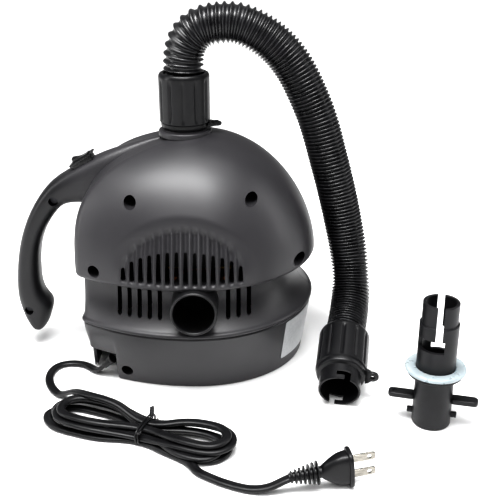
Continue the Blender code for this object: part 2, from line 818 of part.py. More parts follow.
def outlet_collar():
    """Tube from the fan case up through the dome, with two bayonet pins inside its mouth."""
    low = FAN_CASE_Z[1] + GAP
    flange = NECK_R + 0.006
    profile = (
        (NECK_R, NECK_TOP_Z), (NECK_R, low + 0.003), (flange, low + 0.003),
        (flange, low), (NECK_BORE_R, low), (NECK_BORE_R, NECK_TOP_Z),
    )
    collar = turned("outlet_collar", profile, CHARCOAL, 32, Matrix.Translation((NECK_X, 0, 0)))
    pin_z = NECK_TOP_Z - PIN_DOWN
    for side in (-1, 1):
        start = (NECK_X, side * (NECK_BORE_R + 0.001), pin_z)
        end = (NECK_X, side * (BAYONET_BORE_R + 0.0002), pin_z)
        join(collar, rod(f"collar_pin_{side}", PIN_R, start, end, tool=True, sides=10))
    smooth(bake(collar))


def deflate_port():
    """Suction tube through the front of the waist, with a rolled edge at its mouth."""
    length = PORT_BACK_Y - PORT_FRONT_Y
    profile = (
        (PORT_R - 0.0008, 0.0), (PORT_R, -0.0008), (PORT_R, -length),
        (NECK_BORE_R, -length), (NECK_BORE_R, -0.0008), (NECK_BORE_R + 0.0004, 0.0),
    )
    place = Matrix.Translation((PORT_X, PORT_FRONT_Y, PORT_Z))
    turned("deflate_port", profile, BLACK, 32, place @ Matrix.Rotation(math.pi / 2, 4, "X"))


def rocker_switch():
    """Housing with a frame around it, and the rocker that tips in it."""
    frame = switch_frame()
    half = SWITCH_LENGTH / 2
    wide = SWITCH_WIDTH / 2
    bezel_half = half + BEZEL_EDGE + 0.0006
    bezel_wide = wide + BEZEL_EDGE + 0.0006
    lift = 0.0004
    body = block(
        "switch_body", (2 * half, 2 * wide, SWITCH_DEPTH), (0, 0, 0), BLACK
    )
    body.matrix_world = frame @ Matrix.Translation((0, 0, lift - SWITCH_DEPTH / 2))
    bezel_size = (2 * bezel_half, 2 * bezel_wide, BEZEL_THICK)
    bezel = block("switch_bezel", bezel_size, (0, 0, 0), tool=True)
    bezel.matrix_world = frame @ Matrix.Translation((0, 0, lift + BEZEL_THICK / 2))
    well = block(
        "rocker_well",
        (2 * half - 2 * BEZEL_EDGE, 2 * wide - 2 * BEZEL_EDGE, 0.02),
        (0, 0, 0),
        tool=True,
    )
    well.matrix_world = frame @ Matrix.Translation((0, 0, 0.0025))
    join(body, bezel)
    cut(body, well)
    bake(body)
    reach = half - BEZEL_EDGE - RUNNING_GAP
    outline = [
        (-reach, 0.0040), (-reach, 0.0012), (-0.0030, -0.0042), (0.0030, -0.0042),
        (reach, 0.0012), (reach, 0.0040), (0.0, 0.0026),
    ]
    upright = Matrix.Rotation(math.pi / 2, 4, "X")
    tip = Matrix.Rotation(ROCKER_REST, 4, "Y")
    place = frame @ Matrix.Translation((0, 0, 0.0006)) @ tip @ upright
    width = 2 * (wide - BEZEL_EDGE - RUNNING_GAP)
    pivot = bpy.data.objects.new("rocker_pivot", None)
    TOOLS.objects.link(pivot)
    pivot.matrix_world = frame @ Matrix.Translation((0, 0, 0.0006))
    rocker = sheet_outline("switch_rocker", outline, width, place, BLACK)
    rocker.parent = pivot
    rocker.matrix_parent_inverse = pivot.matrix_world.inverted()


# ---- Motor and fan -------------------------------------------------------------------------


def motor():
    """Upright universal motor: stack, coils, brackets, bearings and brushes."""
    low, high = STACK_Z
    corner = 0.004
    arc = np.radians([0, 45, 90])
    outline = []
    for quarter, (sx, sy) in enumerate(((1, 1), (-1, 1), (-1, -1), (1, -1))):
        for a in arc + quarter * math.pi / 2:
            x = sx * (STATOR_X - corner) + corner * math.cos(a)
            y = sy * (STATOR_Y - corner) + corner * math.sin(a)
            outline.append((x, y))
    window = COIL_X[1] + GAP
    window_y = 0.0150
    bore = []
    for side in (1, -1):
        edge = math.asin(window_y / STATOR_BORE_R)
        bore += [(side * window, -side * window_y), (side * window, side * window_y)]
        for a in np.linspace(edge, math.pi - edge, 7):
            bore.append((side * STATOR_BORE_R * math.cos(a), side * STATOR_BORE_R * math.sin(a)))
    place = Matrix.Translation((0, 0, (low + high) / 2))
    sheet_outline("stator_core", outline, high - low, place, LAMINATION, holes=(bore,))
    for name, side in (("field_coil_right", 1), ("field_coil_left", -1)):
        size = (COIL_X[1] - COIL_X[0], 2 * window_y - 2 * GAP, high - low + 0.014)
        middle = (side * sum(COIL_X) / 2, 0, (low + high) / 2)
        coil = block(name, size, middle, COPPER)
        rounding = coil.modifiers.new("edges", "BEVEL")
        rounding.width = 0.003
        rounding.segments = 2
    bore_r = SHAFT_R + GAP
    seat_r = BEARING_R + GAP
    top = LOWER_BEARING_Z + BEARING_HEIGHT + GAP
    foot = PLATE_THICK + GAP
    turned("motor_foot", (
        (seat_r + 0.002, top), (seat_r + 0.002, LOWER_BEARING_Z - 0.001),
        (BRACKET_R, LOWER_BEARING_Z - 0.003), (BRACKET_R, foot), (BRACKET_R - 0.003, foot),
        (BRACKET_R - 0.003, LOWER_BEARING_Z - 0.005), (bore_r, LOWER_BEARING_Z - 0.005),
        (bore_r, LOWER_BEARING_Z - GAP), (seat_r, LOWER_BEARING_Z - GAP), (seat_r, top),
    ), CARBON, 24)
    cap_low = UPPER_BEARING_Z - 0.001
    cap_top = UPPER_BEARING_Z + BEARING_HEIGHT + GAP
    turned("motor_cap", (
        (seat_r + 0.002, cap_top + 0.002), (seat_r + 0.002, cap_low + 0.003),
        (BRACKET_R, cap_low + 0.002), (BRACKET_R, cap_low - 0.002),
        (seat_r, cap_low - 0.002), (seat_r, cap_top), (bore_r, cap_top),
        (bore_r, cap_top + 0.002),
    ), CARBON, 24)
    for name, z in (("lower_bearing", LOWER_BEARING_Z), ("upper_bearing", UPPER_BEARING_Z)):
        tube(name, BEARING_R, bore_r, z, z + BEARING_HEIGHT, STEEL, 20)
    for name, side in (("right", 1), ("left", -1)):
        z = sum(COMMUTATOR_Z) / 2
        inner = COMMUTATOR_R + 2 * GAP
        size = (0.010, 0.005, 0.006)
        block(f"brush_{name}", size, (side * (inner + 0.005), 0, z), CARBON)
        holder = block(
            f"brush_holder_{name}", (0.014, 0.009, 0.010), (side * (inner + 0.011), 0, z), BRASS
        )
        room = block(
            f"brush_room_{name}",
            (0.012, size[1] + 2 * GAP, size[2] + 2 * GAP),
            (side * (inner + 0.0056), 0, z),
            tool=True,
        )
        cut(holder, room)
        bake(holder)
    for i, side in enumerate((1, -1), start=1):
        x = side * (STATOR_X - 0.0035)
        y = side * (STATOR_Y - 0.0035)
        hole = rod(
            f"stack_hole_{i}", SCREW_R + GAP, (x, y, 0.02), (x, y, 0.08), tool=True, sides=8
        )
        cut(bpy.data.objects["stator_core"], hole)
        profile = (
            (0.0, high + 0.003), (HEAD_R, high + 0.003), (HEAD_R, high + GAP),
            (SCREW_R, high + GAP), (SCREW_R, low - 0.006), (0.0, low - 0.006),
        )
        turned(f"stack_screw_{i}", profile, STEEL, 8, Matrix.Translation((x, y, 0)))
    bake(bpy.data.objects["stator_core"])


def rotor():
    """What spins: shaft, wound core, commutator and fan."""
    low, high = STACK_Z
    bore_r = SHAFT_R + GAP
    fan_low, fan_top = FAN_Z
    nut_top = fan_top + 0.0045
    rod("motor_shaft", SHAFT_R, (0, 0, 0.0125), (0, 0, nut_top), STEEL, sides=16)
    tube("rotor_core", ROTOR_R, bore_r, low, high, LAMINATION, 28)
    for name, foot, top, foot_r, top_r in (
        ("rotor_winding_lower", low - 0.0070, low - GAP, 0.0110, 0.0160),
        ("rotor_winding_upper", high + GAP, high + 0.0070, 0.0160, 0.0110),
    ):
        belly = (max(foot_r, top_r) + 0.0005, (foot + top) / 2)
        profile = ((top_r, top), belly, (foot_r, foot), (bore_r, foot), (bore_r, top))
        turned(name, profile, COPPER, 20)
    tube("commutator", COMMUTATOR_R, bore_r, *COMMUTATOR_Z, COPPER, 24)
    fan = turned("impeller", (
        (0.0080, fan_top), (0.0080, fan_top - 0.012), (FAN_R, fan_top - 0.014),
        (FAN_R, fan_top - 0.016), (0.0075, fan_top - 0.016), (0.0070, fan_low),
        (bore_r, fan_low), (bore_r, fan_top),
    ), BLACK, 32)
    blade_length = FAN_R - 0.006 - FAN_HUB_REACH
    for i in range(FAN_BLADES):
        turn = Matrix.Rotation(2 * math.pi * i / FAN_BLADES, 4, "Z")
        lean = Matrix.Rotation(math.radians(35), 4, "Z")
        blade = block(f"blade_{i}", (blade_length, 0.0016, 0.0118), (0, 0, 0), tool=True)
        middle = Matrix.Translation((FAN_HUB_REACH + blade_length / 2, 0, fan_top - 0.0080))
        blade.matrix_world = turn @ middle @ lean
        join(fan, blade)
    smooth(bake(fan))
    height = nut_top - 0.0005 - fan_top - GAP
    nut_place = Matrix.Translation((0, 0, fan_top + GAP + height / 2))
    nut_hole = circle(bore_r, 12)
    sheet_outline("impeller_nut", circle(0.0055, 6), height, nut_place, BRASS, holes=(nut_hole,))


def fan_case():
    """Case around the fan: a bowl with its outlet in the roof, and a floor with the fan's eye."""
    low, high = FAN_CASE_Z
    wall = 0.002
    case = turned("fan_case", (
        (0.0001, high), (FAN_CASE_R - 0.003, high), (FAN_CASE_R, high - 0.003), (FAN_CASE_R, low),
        (FAN_CASE_R - wall, low), (FAN_CASE_R - wall, high - 0.004),
        (FAN_CASE_R - wall - 0.002, high - wall), (0.0001, high - wall),
    ), BLACK, 32)
    hole = rod(
        "case_outlet", NECK_BORE_R, (NECK_X, 0, high - 0.005), (NECK_X, 0, high + 0.005),
        tool=True, sides=28,
    )
    cut(case, hole)
    bake(case)
    tube("fan_floor", FAN_CASE_R, FAN_EYE_R, low - GAP - wall, low - GAP, BLACK, 40)


# ---- Hose, cuffs and adapter ---------------------------------------------------------------


def cuff(name, place, ear_turn):
    """Hose cuff. Local origin at the shoulder of its bayonet, hose side up along +Z."""
    socket_r = HOSE_D / 2 + GAP
    rest = CUFF_LENGTH - CUFF_SOCKET
    piece = turned(name, (
        (CUFF_R - 0.001, CUFF_LENGTH), (CUFF_R, CUFF_LENGTH - 0.001), (CUFF_R, 0.0008),
        (CUFF_R - 0.0008, 0.0), (BAYONET_R, 0.0), (BAYONET_R, -BAYONET_LENGTH),
        (BAYONET_BORE_R, -BAYONET_LENGTH), (BAYONET_BORE_R, rest), (socket_r, rest),
        (socket_r, CUFF_LENGTH),
    ), CHARCOAL, 32)
    spin = Matrix.Rotation(ear_turn, 4, "Z")
    middle = (CUFF_R + EAR_R - 0.001, 0.0)
    lug = [(CUFF_R - 0.002, -EAR_R), (middle[0], -EAR_R)]
    lug += [
        (middle[0] + EAR_R * math.sin(a), -EAR_R * math.cos(a))
        for a in np.radians([30, 60, 90, 120, 150])
    ]
    lug += [(middle[0], EAR_R), (CUFF_R - 0.002, EAR_R)]
    lift = Matrix.Translation((0, 0, EAR_LIFT + EAR_THICK / 2))
    hole = circle(EAR_HOLE_R, 10, middle)
    ear = sheet_outline(f"{name}_ear", lug, EAR_THICK, spin @ lift, tool=True, holes=(hole,))
    join(piece, ear)
    slot = 2 * PIN_R + 0.0014
    pin_z = -PIN_DOWN
    for i in (0, 1):
        turn = Matrix.Rotation(math.pi * i - math.pi / 2, 4, "Z")
        swing = math.radians(TWIST_DEG)
        arc = BAYONET_R * swing
        leg = block(f"{name}_leg_{i}", (0.008, arc + slot - 2 * GAP, slot), (0, 0, 0), tool=True)
        leg_middle = Matrix.Translation((BAYONET_R, 0, pin_z))
        leg.matrix_world = turn @ Matrix.Rotation(swing / 2, 4, "Z") @ leg_middle
        entry = block(f"{name}_entry_{i}", (0.008, slot, 0.010), (0, 0, 0), tool=True)
        entry_middle = Matrix.Translation((BAYONET_R, 0, pin_z - 0.005 + slot / 2 - GAP))
        entry.matrix_world = turn @ Matrix.Rotation(swing, 4, "Z") @ entry_middle
        cut(piece, leg, entry)
    bake(piece)
    piece.data.transform(place)
    smooth(piece)
    return piece


def hose_and_cuffs():
    """Cuff locked in the neck, the stretch hose, and the cuff on its free end on the floor."""
    cuff("pump_cuff", Matrix.Translation((NECK_X, 0, NECK_TOP_Z + GAP)), 0.0)
    end = Vector(HOSE_ROUTE[-1])
    length = CUFF_LENGTH + GAP
    drop = (end.z - FREE_CUFF_FLOOR_Z) / math.hypot(length, CUFF_R)
    pitch = math.asin(drop) - math.atan2(CUFF_R, length)
    heading = Vector(FREE_CUFF_HEADING).normalized() * math.cos(pitch)
    outward = Vector((heading.x, heading.y, -math.sin(pitch)))
    shoulder = end + outward * length
    across = Vector((0, 0, 1)).cross(-outward).normalized()
    turn = Matrix((across, (-outward).cross(across), -outward)).transposed().to_4x4()
    cuff("free_cuff", Matrix.Translation(shoulder) @ turn, math.pi)
    cable("hose", HOSE_ROUTE, HOSE_D, 0.013, 3, GLOSSY)


def adapter_slots():
    """Two upright slots from the top of the adapter, each with a leg to one side."""
    cutters = []
    for i in (0, 1):
        turn = Matrix.Rotation(math.pi * i - math.pi / 2, 4, "Z")
        upright = block(f"prong_slot_{i}", (0.014, PRONG_SLOT, 0.042), (0, 0, 0), tool=True)
        upright.matrix_world = turn @ Matrix.Translation((ADAPTER_TUBE_R, 0, 0.089))
        leg = block(f"prong_leg_{i}", (0.014, 0.010, 0.013), (0, 0, 0), tool=True)
        leg.matrix_world = turn @ Matrix.Translation((ADAPTER_TUBE_R, 0.003, 0.0745))
        cutters += [upright, leg]
    return cutters


def adapter():
    """Valve adapter: a pronged tube with a flange, two wings and two bayonet pins."""
    facing = Matrix.Rotation(ADAPTER_TURN, 4, "Z")
    stand = Matrix.Translation((*ADAPTER_AT, 0.0)) @ facing
    low, high = ADAPTER_FLANGE_Z
    piece = turned("adapter_body", (
        (PRONG_R, ADAPTER_TOP_Z), (PRONG_R, ADAPTER_NECK_Z), (ADAPTER_TUBE_R, ADAPTER_NECK_Z),
        (ADAPTER_TUBE_R, high), (ADAPTER_FLANGE_R, high), (ADAPTER_FLANGE_R, low),
        (ADAPTER_TUBE_R, low), (ADAPTER_TUBE_R, 0.0), (ADAPTER_BORE_R, 0.0),
        (0.0112, ADAPTER_TOP_Z),
    ), BLACK, 32)
    cut(piece, *adapter_slots())
    for side in (-1, 1):
        inner = side * (ADAPTER_BORE_R + 0.0006)
        reach = WING_SPAN - ADAPTER_BORE_R - 0.0006
        middle = (inner + side * reach / 2, 0, WING_Z)
        wing = block(f"wing_{side}", (reach, WING_WIDTH, WING_THICK), middle, tool=True)
        join(piece, wing)
        pin = rod(
            f"adapter_pin_{side}",
            0.0025,
            (side * (ADAPTER_BORE_R + 0.0006), 0, 0.0085),
            (side * (ADAPTER_TUBE_R + 0.0035), 0, 0.0085),
            tool=True,
            sides=12,
        )
        join(piece, pin)
    eye_x = -WING_SPAN + 0.005
    cut(piece, rod("wing_eye", 0.0022, (eye_x, 0, 0.01), (eye_x, 0, 0.03), tool=True, sides=12))
    bake(piece)
    piece.data.transform(stand)
    smooth(piece)
    washer_low = high + GAP
    tube(
        "adapter_washer", WASHER_R, ADAPTER_TUBE_R + GAP, washer_low, washer_low + WASHER_THICK,
        WASHER, 36, ADAPTER_AT,
    )


# ---- Mains lead ----------------------------------------------------------------------------


def strain_relief():
    """Tapered sleeve on the cord where it leaves the corner recess."""
    end = Vector(RELIEF_END)
    back = (Vector(LEAD_ROUTE[0]) - Vector(LEAD_ROUTE[1])).normalized()
    turn = (-back).to_track_quat("Z", "Y").to_matrix().to_4x4()
    place = Matrix.Translation(end + back * (RELIEF_LENGTH + GAP)) @ turn
    profile = (
        (0.0, RELIEF_LENGTH), (CORD_T / 2 + 0.0010, RELIEF_LENGTH), (RELIEF_R - 0.0008, 0.0015),
        (RELIEF_R, 0.0015), (RELIEF_R, 0.0), (0.0, 0.0),
    )
    turned("strain_relief", profile, CORD_PVC, 12, place)


def hank():
    """Folded lead, its tie, and the two loose stretches."""
    start, end = Vector((*HANK_FROM, 0.0)), Vector((*HANK_TO, 0.0))
    along = (end - start).normalized()
    azimuth = math.atan2(along.y, along.x)
    half = (end - start).length / 2
    round_r = HANK_WIDTH / 2
    outline = []
    for side in (1, -1):
        for a in np.linspace(-math.pi / 2, math.pi / 2, 8):
            x = side * (half - round_r + round_r * math.cos(a))
            outline.append((x, side * round_r * math.sin(a)))
    turn = Matrix.Rotation(azimuth, 4, "Z")
    middle = (start + end) / 2 + Vector((0, 0, HANK_HEIGHT / 2))
    sheet_outline("cord_hank", outline, HANK_HEIGHT, Matrix.Translation(middle) @ turn, CORD_PVC)
    band = 0.0035
    out = 0.0008
    tie_foot = start + (end - start) * TIE_AT
    tie_middle = tie_foot + Vector((0, 0, (HANK_HEIGHT + GAP + out) / 2))
    tie_width = HANK_WIDTH + 2 * (GAP + out)
    tie_height = HANK_HEIGHT + GAP + out
    tie = block("cord_tie", (band, tie_width, tie_height), (0, 0, 0), CORD_PVC)
    tie.matrix_world = Matrix.Translation(tie_middle) @ turn
    room_size = (2 * band, HANK_WIDTH + 2 * GAP, 2 * (HANK_HEIGHT + GAP))
    room = block("tie_room", room_size, (0, 0, 0), tool=True)
    room.matrix_world = Matrix.Translation(tie_foot) @ turn
    cut(tie, room)
    bake(tie)
    cable("cord_lead", LEAD_ROUTE, CORD_T, 0.0070, 2, CORD_PVC)
    cable("cord_tail", TAIL_ROUTE, CORD_T, 0.0070, 2, CORD_PVC)


def plug():
    """Moulded two-blade plug, lying with its blades one above the other."""
    aim = Matrix.Rotation(PLUG_AZIMUTH, 4, "Z") @ Matrix.Rotation(-PLUG_PITCH, 4, "Y")
    face = Matrix.Translation(PLUG_AT) @ aim
    thick, width, height = PLUG_FLANGE
    rings = []
    for x, half_y, half_z in (
        (-0.0445, 0.0030, 0.0030), (-0.0260, 0.0036, 0.0036), (-0.0180, 0.0052, 0.0075),
        (-0.0120, 0.0066, 0.0104), (-thick, 0.0068, 0.0116), (-thick + 0.0001, width / 2, height / 2),
        (0.0, width / 2, height / 2),
    ):
        rings.append([
            (x, half_y * math.copysign(abs(math.cos(a)) ** 0.7, math.cos(a)),
             half_z * math.copysign(abs(math.sin(a)) ** 0.7, math.sin(a)))
            for a in np.linspace(0, 2 * math.pi, 16, endpoint=False)
        ])
    body = loft("plug_body", rings, tool=False)
    body.data.materials.append(CORD_PVC)
    body.data.transform(face)
    smooth(body)
    length, blade_y, blade_z = BLADE
    for name, side in (("plug_blade_upper", 1), ("plug_blade_lower", -1)):
        size = (length, blade_y, blade_z)
        offset = Matrix.Translation((GAP + length / 2, 0, side * BLADE_PITCH / 2))
        blade = block(name, size, (0, 0, 0), NICKEL)
        blade.matrix_world = face @ offset
        tip = face @ Matrix.Translation((length - 0.0045, 0, side * BLADE_PITCH / 2))
        start = tip @ Vector((0, -0.003, 0))
        end = tip @ Vector((0, 0.003, 0))
        cut(blade, rod(f"{name}_hole", 0.0016, start, end, tool=True, sides=12))
        bake(blade)


housing()
case_screws()
base_plate()
rating_label()
outlet_collar()
deflate_port()
rocker_switch()
fan_case()
motor()
rotor()
hose_and_cuffs()
adapter()
strain_relief()
hank()
plug()
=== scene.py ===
"""Electric pump for air mattresses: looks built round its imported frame, in metres, +Z up."""

import math

import bmesh
import bpy
import numpy as np
from mathutils import Matrix, Vector


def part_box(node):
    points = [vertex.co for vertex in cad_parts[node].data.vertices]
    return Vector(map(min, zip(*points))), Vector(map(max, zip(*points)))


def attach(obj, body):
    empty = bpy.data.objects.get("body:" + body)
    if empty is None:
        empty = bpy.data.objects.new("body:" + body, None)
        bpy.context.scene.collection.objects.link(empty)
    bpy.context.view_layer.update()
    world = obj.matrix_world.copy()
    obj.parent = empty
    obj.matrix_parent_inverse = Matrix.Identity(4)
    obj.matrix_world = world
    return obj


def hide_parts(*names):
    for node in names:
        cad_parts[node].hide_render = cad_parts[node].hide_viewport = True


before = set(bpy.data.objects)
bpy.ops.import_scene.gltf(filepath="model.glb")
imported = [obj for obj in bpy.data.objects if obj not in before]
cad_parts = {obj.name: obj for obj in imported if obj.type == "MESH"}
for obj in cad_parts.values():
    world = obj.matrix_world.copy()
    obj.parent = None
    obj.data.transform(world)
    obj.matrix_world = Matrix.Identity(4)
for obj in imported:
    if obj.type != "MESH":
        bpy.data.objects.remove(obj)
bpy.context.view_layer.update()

# ---- Studio ----------------------------------------------------------------------------
# A long, slightly raised look at the pump from the front, on pale seamless paper, under a
# big overhead softbox, with a front fill and a strip on each side.
CAMERA_AT = (0.045, -0.710, 0.390)
CAMERA_DOWN = math.radians(22.9)
CAMERA_LENS = 62.0
PAPER_SIZE = 60.0


def grid_mesh(name, points, around=False, ends=False, uv=None):
    """A mesh over a grid of points (rows, columns, 3), one quad between each four of them.

    around joins the last column to the first; ends closes the first and last row, each with
    a fan to its own middle; uv is a (rows, columns, 2) map kept on the corners."""
    rows, columns = points.shape[:2]
    index = np.arange(rows * columns).reshape(rows, columns)
    if around:
        index = np.concatenate([index, index[:, :1]], axis=1)
    corners = np.stack([index[:-1, :-1], index[:-1, 1:], index[1:, 1:], index[1:, :-1]], axis=-1)
    quads = corners.reshape(-1, 4)
    places = points.reshape(-1, 3)
    fans = np.zeros((0, 3), int)
    if ends:
        middles = np.stack([points[0].mean(axis=0), points[-1].mean(axis=0)])
        low, high = len(places), len(places) + 1
        places = np.concatenate([places, middles])
        first = np.stack([index[0, 1:], index[0, :-1], np.full(index.shape[1] - 1, low)], axis=-1)
        last = np.stack([index[-1, :-1], index[-1, 1:], np.full(index.shape[1] - 1, high)], axis=-1)
        fans = np.concatenate([first, last])
    mesh = bpy.data.meshes.new(name)
    mesh.vertices.add(len(places))
    mesh.vertices.foreach_set("co", places.astype(np.float32).ravel())
    loops = np.concatenate([quads.ravel(), fans.ravel()])
    sizes = np.concatenate([np.full(len(quads), 4), np.full(len(fans), 3)])
    mesh.loops.add(len(loops))
    mesh.loops.foreach_set("vertex_index", loops.astype(np.int32))
    mesh.polygons.add(len(sizes))
    starts = np.concatenate([[0], np.cumsum(sizes)[:-1]])
    mesh.polygons.foreach_set("loop_start", starts.astype(np.int32))
    mesh.update(calc_edges=True)
    if uv is not None:
        flat = uv.reshape(-1, 2)
        if ends:
            flat = np.concatenate([flat, flat[:1], flat[-1:]])
        layer = mesh.uv_layers.new(name="along")
        layer.uv.foreach_set("vector", flat[loops].astype(np.float32).ravel())
    return mesh


def piece(name, mesh, body, *materials, smooth=None):
    """A finished piece at the origin, riding on one body, facing outwards.

    smooth is the angle in degrees past which an edge stays sharp."""
    obj = bpy.data.objects.new(name, mesh)
    bpy.context.scene.collection.objects.link(obj)
    for material in materials:
        mesh.materials.append(material)
    bm = bmesh.new()
    bm.from_mesh(mesh)
    bmesh.ops.remove_doubles(bm, verts=bm.verts, dist=1e-7)
    bmesh.ops.recalc_face_normals(bm, faces=bm.faces)
    bm.to_mesh(mesh)
    bm.free()
    mesh.shade_smooth()
    if smooth is not None:
        mesh.set_sharp_from_angle(angle=math.radians(smooth))
    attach(obj, body)
    return obj


def finish(name, color, roughness, metallic=0.0, ior=1.5):
    """A new Principled finish, its shader node and the tree that the rest is added to."""
    material = bpy.data.materials.new(name)
    material.use_nodes = True
    shader = material.node_tree.nodes["Principled BSDF"]
    shader.inputs["Base Color"].default_value = (*color, 1.0)
    shader.inputs["Roughness"].default_value = roughness
    shader.inputs["Metallic"].default_value = metallic
    shader.inputs["IOR"].default_value = ior
    return material, shader, material.node_tree


def pattern(tree, kind, scale, space="Object", stretch=(1, 1, 1), **values):
    """A procedural texture node read in metres of the piece's own space, or along its UV."""
    spot = tree.nodes.new("ShaderNodeTexCoord")
    fit = tree.nodes.new("ShaderNodeMapping")
    fit.inputs["Scale"].default_value = stretch
    texture = tree.nodes.new(kind)
    texture.inputs["Scale"].default_value = scale
    for key, value in values.items():
        texture.inputs[key].default_value = value
    tree.links.new(spot.outputs[space], fit.inputs["Vector"])
    tree.links.new(fit.outputs["Vector"], texture.inputs["Vector"])
    return texture


def shade_between(tree, factor, dark, light, low=0.3, high=0.7):
    """A colour that runs from dark to light as a pattern's value goes from low to high."""
    ramp = tree.nodes.new("ShaderNodeValToRGB")
    ramp.color_ramp.elements[0].position = low
    ramp.color_ramp.elements[0].color = (*dark, 1.0)
    ramp.color_ramp.elements[1].position = high
    ramp.color_ramp.elements[1].color = (*light, 1.0)
    tree.links.new(factor, ramp.inputs["Fac"])
    return ramp.outputs["Color"]


def range_between(tree, factor, low, high):
    """A number that runs from low to high as a pattern's value goes from 0.25 to 0.75."""
    spread = tree.nodes.new("ShaderNodeMapRange")
    spread.inputs["From Min"].default_value = 0.25
    spread.inputs["From Max"].default_value = 0.75
    spread.inputs["To Min"].default_value = low
    spread.inputs["To Max"].default_value = high
    tree.links.new(factor, spread.inputs["Value"])
    return spread.outputs["Result"]


def tint(tree, shader, factor, dark, light, low=0.3, high=0.7):
    """Base colour that follows a pattern between two shades."""
    color = shade_between(tree, factor, dark, light, low, high)
    tree.links.new(color, shader.inputs["Base Color"])


def dull(tree, shader, factor, low, high):
    """Roughness that follows a pattern between two values."""
    tree.links.new(range_between(tree, factor, low, high), shader.inputs["Roughness"])


def relief(tree, shader, height, depth, strength=1.0):
    """Bump of this depth in metres under a shader."""
    bump = tree.nodes.new("ShaderNodeBump")
    bump.inputs["Strength"].default_value = strength
    bump.inputs["Distance"].default_value = depth
    tree.links.new(height, bump.inputs["Height"])
    tree.links.new(bump.outputs["Normal"], shader.inputs["Normal"])
    return bump


camera = bpy.data.objects.new("camera", bpy.data.cameras.new("camera"))
bpy.context.scene.collection.objects.link(camera)
camera.data.lens = CAMERA_LENS
camera.location = CAMERA_AT
camera.rotation_euler = (math.pi / 2 - CAMERA_DOWN, 0.0, 0.0)
camera.data.clip_start = 0.01
camera.data.clip_end = 50.0
bpy.context.scene.camera = camera
bpy.context.scene.view_settings.view_transform = "Standard"
bpy.context.scene.view_settings.look = "High Contrast"

paper_xy = np.linspace(-PAPER_SIZE / 2, PAPER_SIZE / 2, 9)
paper_grid = np.stack(np.broadcast_arrays(paper_xy[:, None], paper_xy[None], 0.0), axis=-1)
paper = bpy.data.objects.new("paper", grid_mesh("paper", paper_grid[::-1]))
bpy.context.scene.collection.objects.link(paper)
paper_white, paper_shader, paper_tree = finish("paper_white", (0.93, 0.93, 0.93), 0.9)
paper_shader.inputs["Specular IOR Level"].default_value = 0.1
grain = pattern(paper_tree, "ShaderNodeTexNoise", 900.0)
relief(paper_tree, paper_shader, grain.outputs["Fac"], 0.00003)
paper.data.materials.append(paper_white)


def softbox(name, at, aim, size, power, tint=(1.0, 1.0, 1.0)):
    """A rectangular light of a given size that faces a point."""
    lamp = bpy.data.lights.new(name, "AREA")
    lamp.shape = "RECTANGLE"
    lamp.size, lamp.size_y = size
    lamp.energy = power
    lamp.color = tint
    obj = bpy.data.objects.new(name, lamp)
    bpy.context.scene.collection.objects.link(obj)
    obj.location = at
    obj.rotation_euler = (Vector(aim) - Vector(at)).to_track_quat("-Z", "Y").to_euler()


softbox("overhead", (-0.12, -0.35, 1.46), (0.0, 0.0, 0.15), (1.05, 0.42), 21.0)
softbox("front_fill", (0.1, -2.2, 1.5), (0.0, 0.0, 0.1), (1.8, 0.7), 3.0)
softbox("left_strip", (-1.5, -0.3, 0.7), (0.0, 0.0, 0.12), (0.35, 1.2), 6.0)
softbox("right_strip", (1.5, 0.1, 0.7), (0.0, 0.0, 0.12), (0.35, 1.2), 4.5)
sky = bpy.data.lights.new("sky", "SUN")
sky.energy = 1.9
sky.angle = math.radians(70)
sky_light = bpy.data.objects.new("sky", sky)
bpy.context.scene.collection.objects.link(sky_light)
sky_light.rotation_euler = (math.radians(12), 0.0, 0.0)
world = bpy.data.worlds.new("room")
world.use_nodes = True
world.node_tree.nodes["Background"].inputs["Color"].default_value = (1.0, 1.0, 1.0, 1.0)
world.node_tree.nodes["Background"].inputs["Strength"].default_value = 0.22
bpy.context.scene.world = world

# ---- Stretch hose ------------------------------------------------------------------------
# Blow-moulded black PVC, ribbed all the way. It is pulled open where it leaves the pump and
# closed up along the rest, and it is pushed into a cuff at each end.
HOSE_ROUTE = (
    (-0.0096, 0.0, 0.2493), (-0.0094, 0.0, 0.2610), (-0.0060, 0.0, 0.2740),
    (0.0040, 0.0, 0.2845), (0.0180, 0.0, 0.2885), (0.0340, 0.0, 0.2885),
    (0.0510, 0.0, 0.2820), (0.0680, 0.0, 0.2695), (0.0820, 0.0, 0.2520),
    (0.0925, 0.0, 0.2320), (0.1010, 0.0, 0.2120), (0.1100, 0.0, 0.1830),
    (0.1190, 0.0, 0.1510), (0.1270, -0.0010, 0.1180), (0.1325, -0.0060, 0.0900),
    (0.1345, -0.0180, 0.0620), (0.1310, -0.0380, 0.0435), (0.1262, -0.0582, 0.0351),
)
HOSE_D = 0.0335
HOSE_VALLEY_R = 0.0143
HOSE_TUCK = 0.006
RIB_PITCH_OPEN = 0.0053
RIB_PITCH_CLOSED = 0.0032
RIB_OPEN_LENGTH = 0.055
HOSE_SIDES = 56


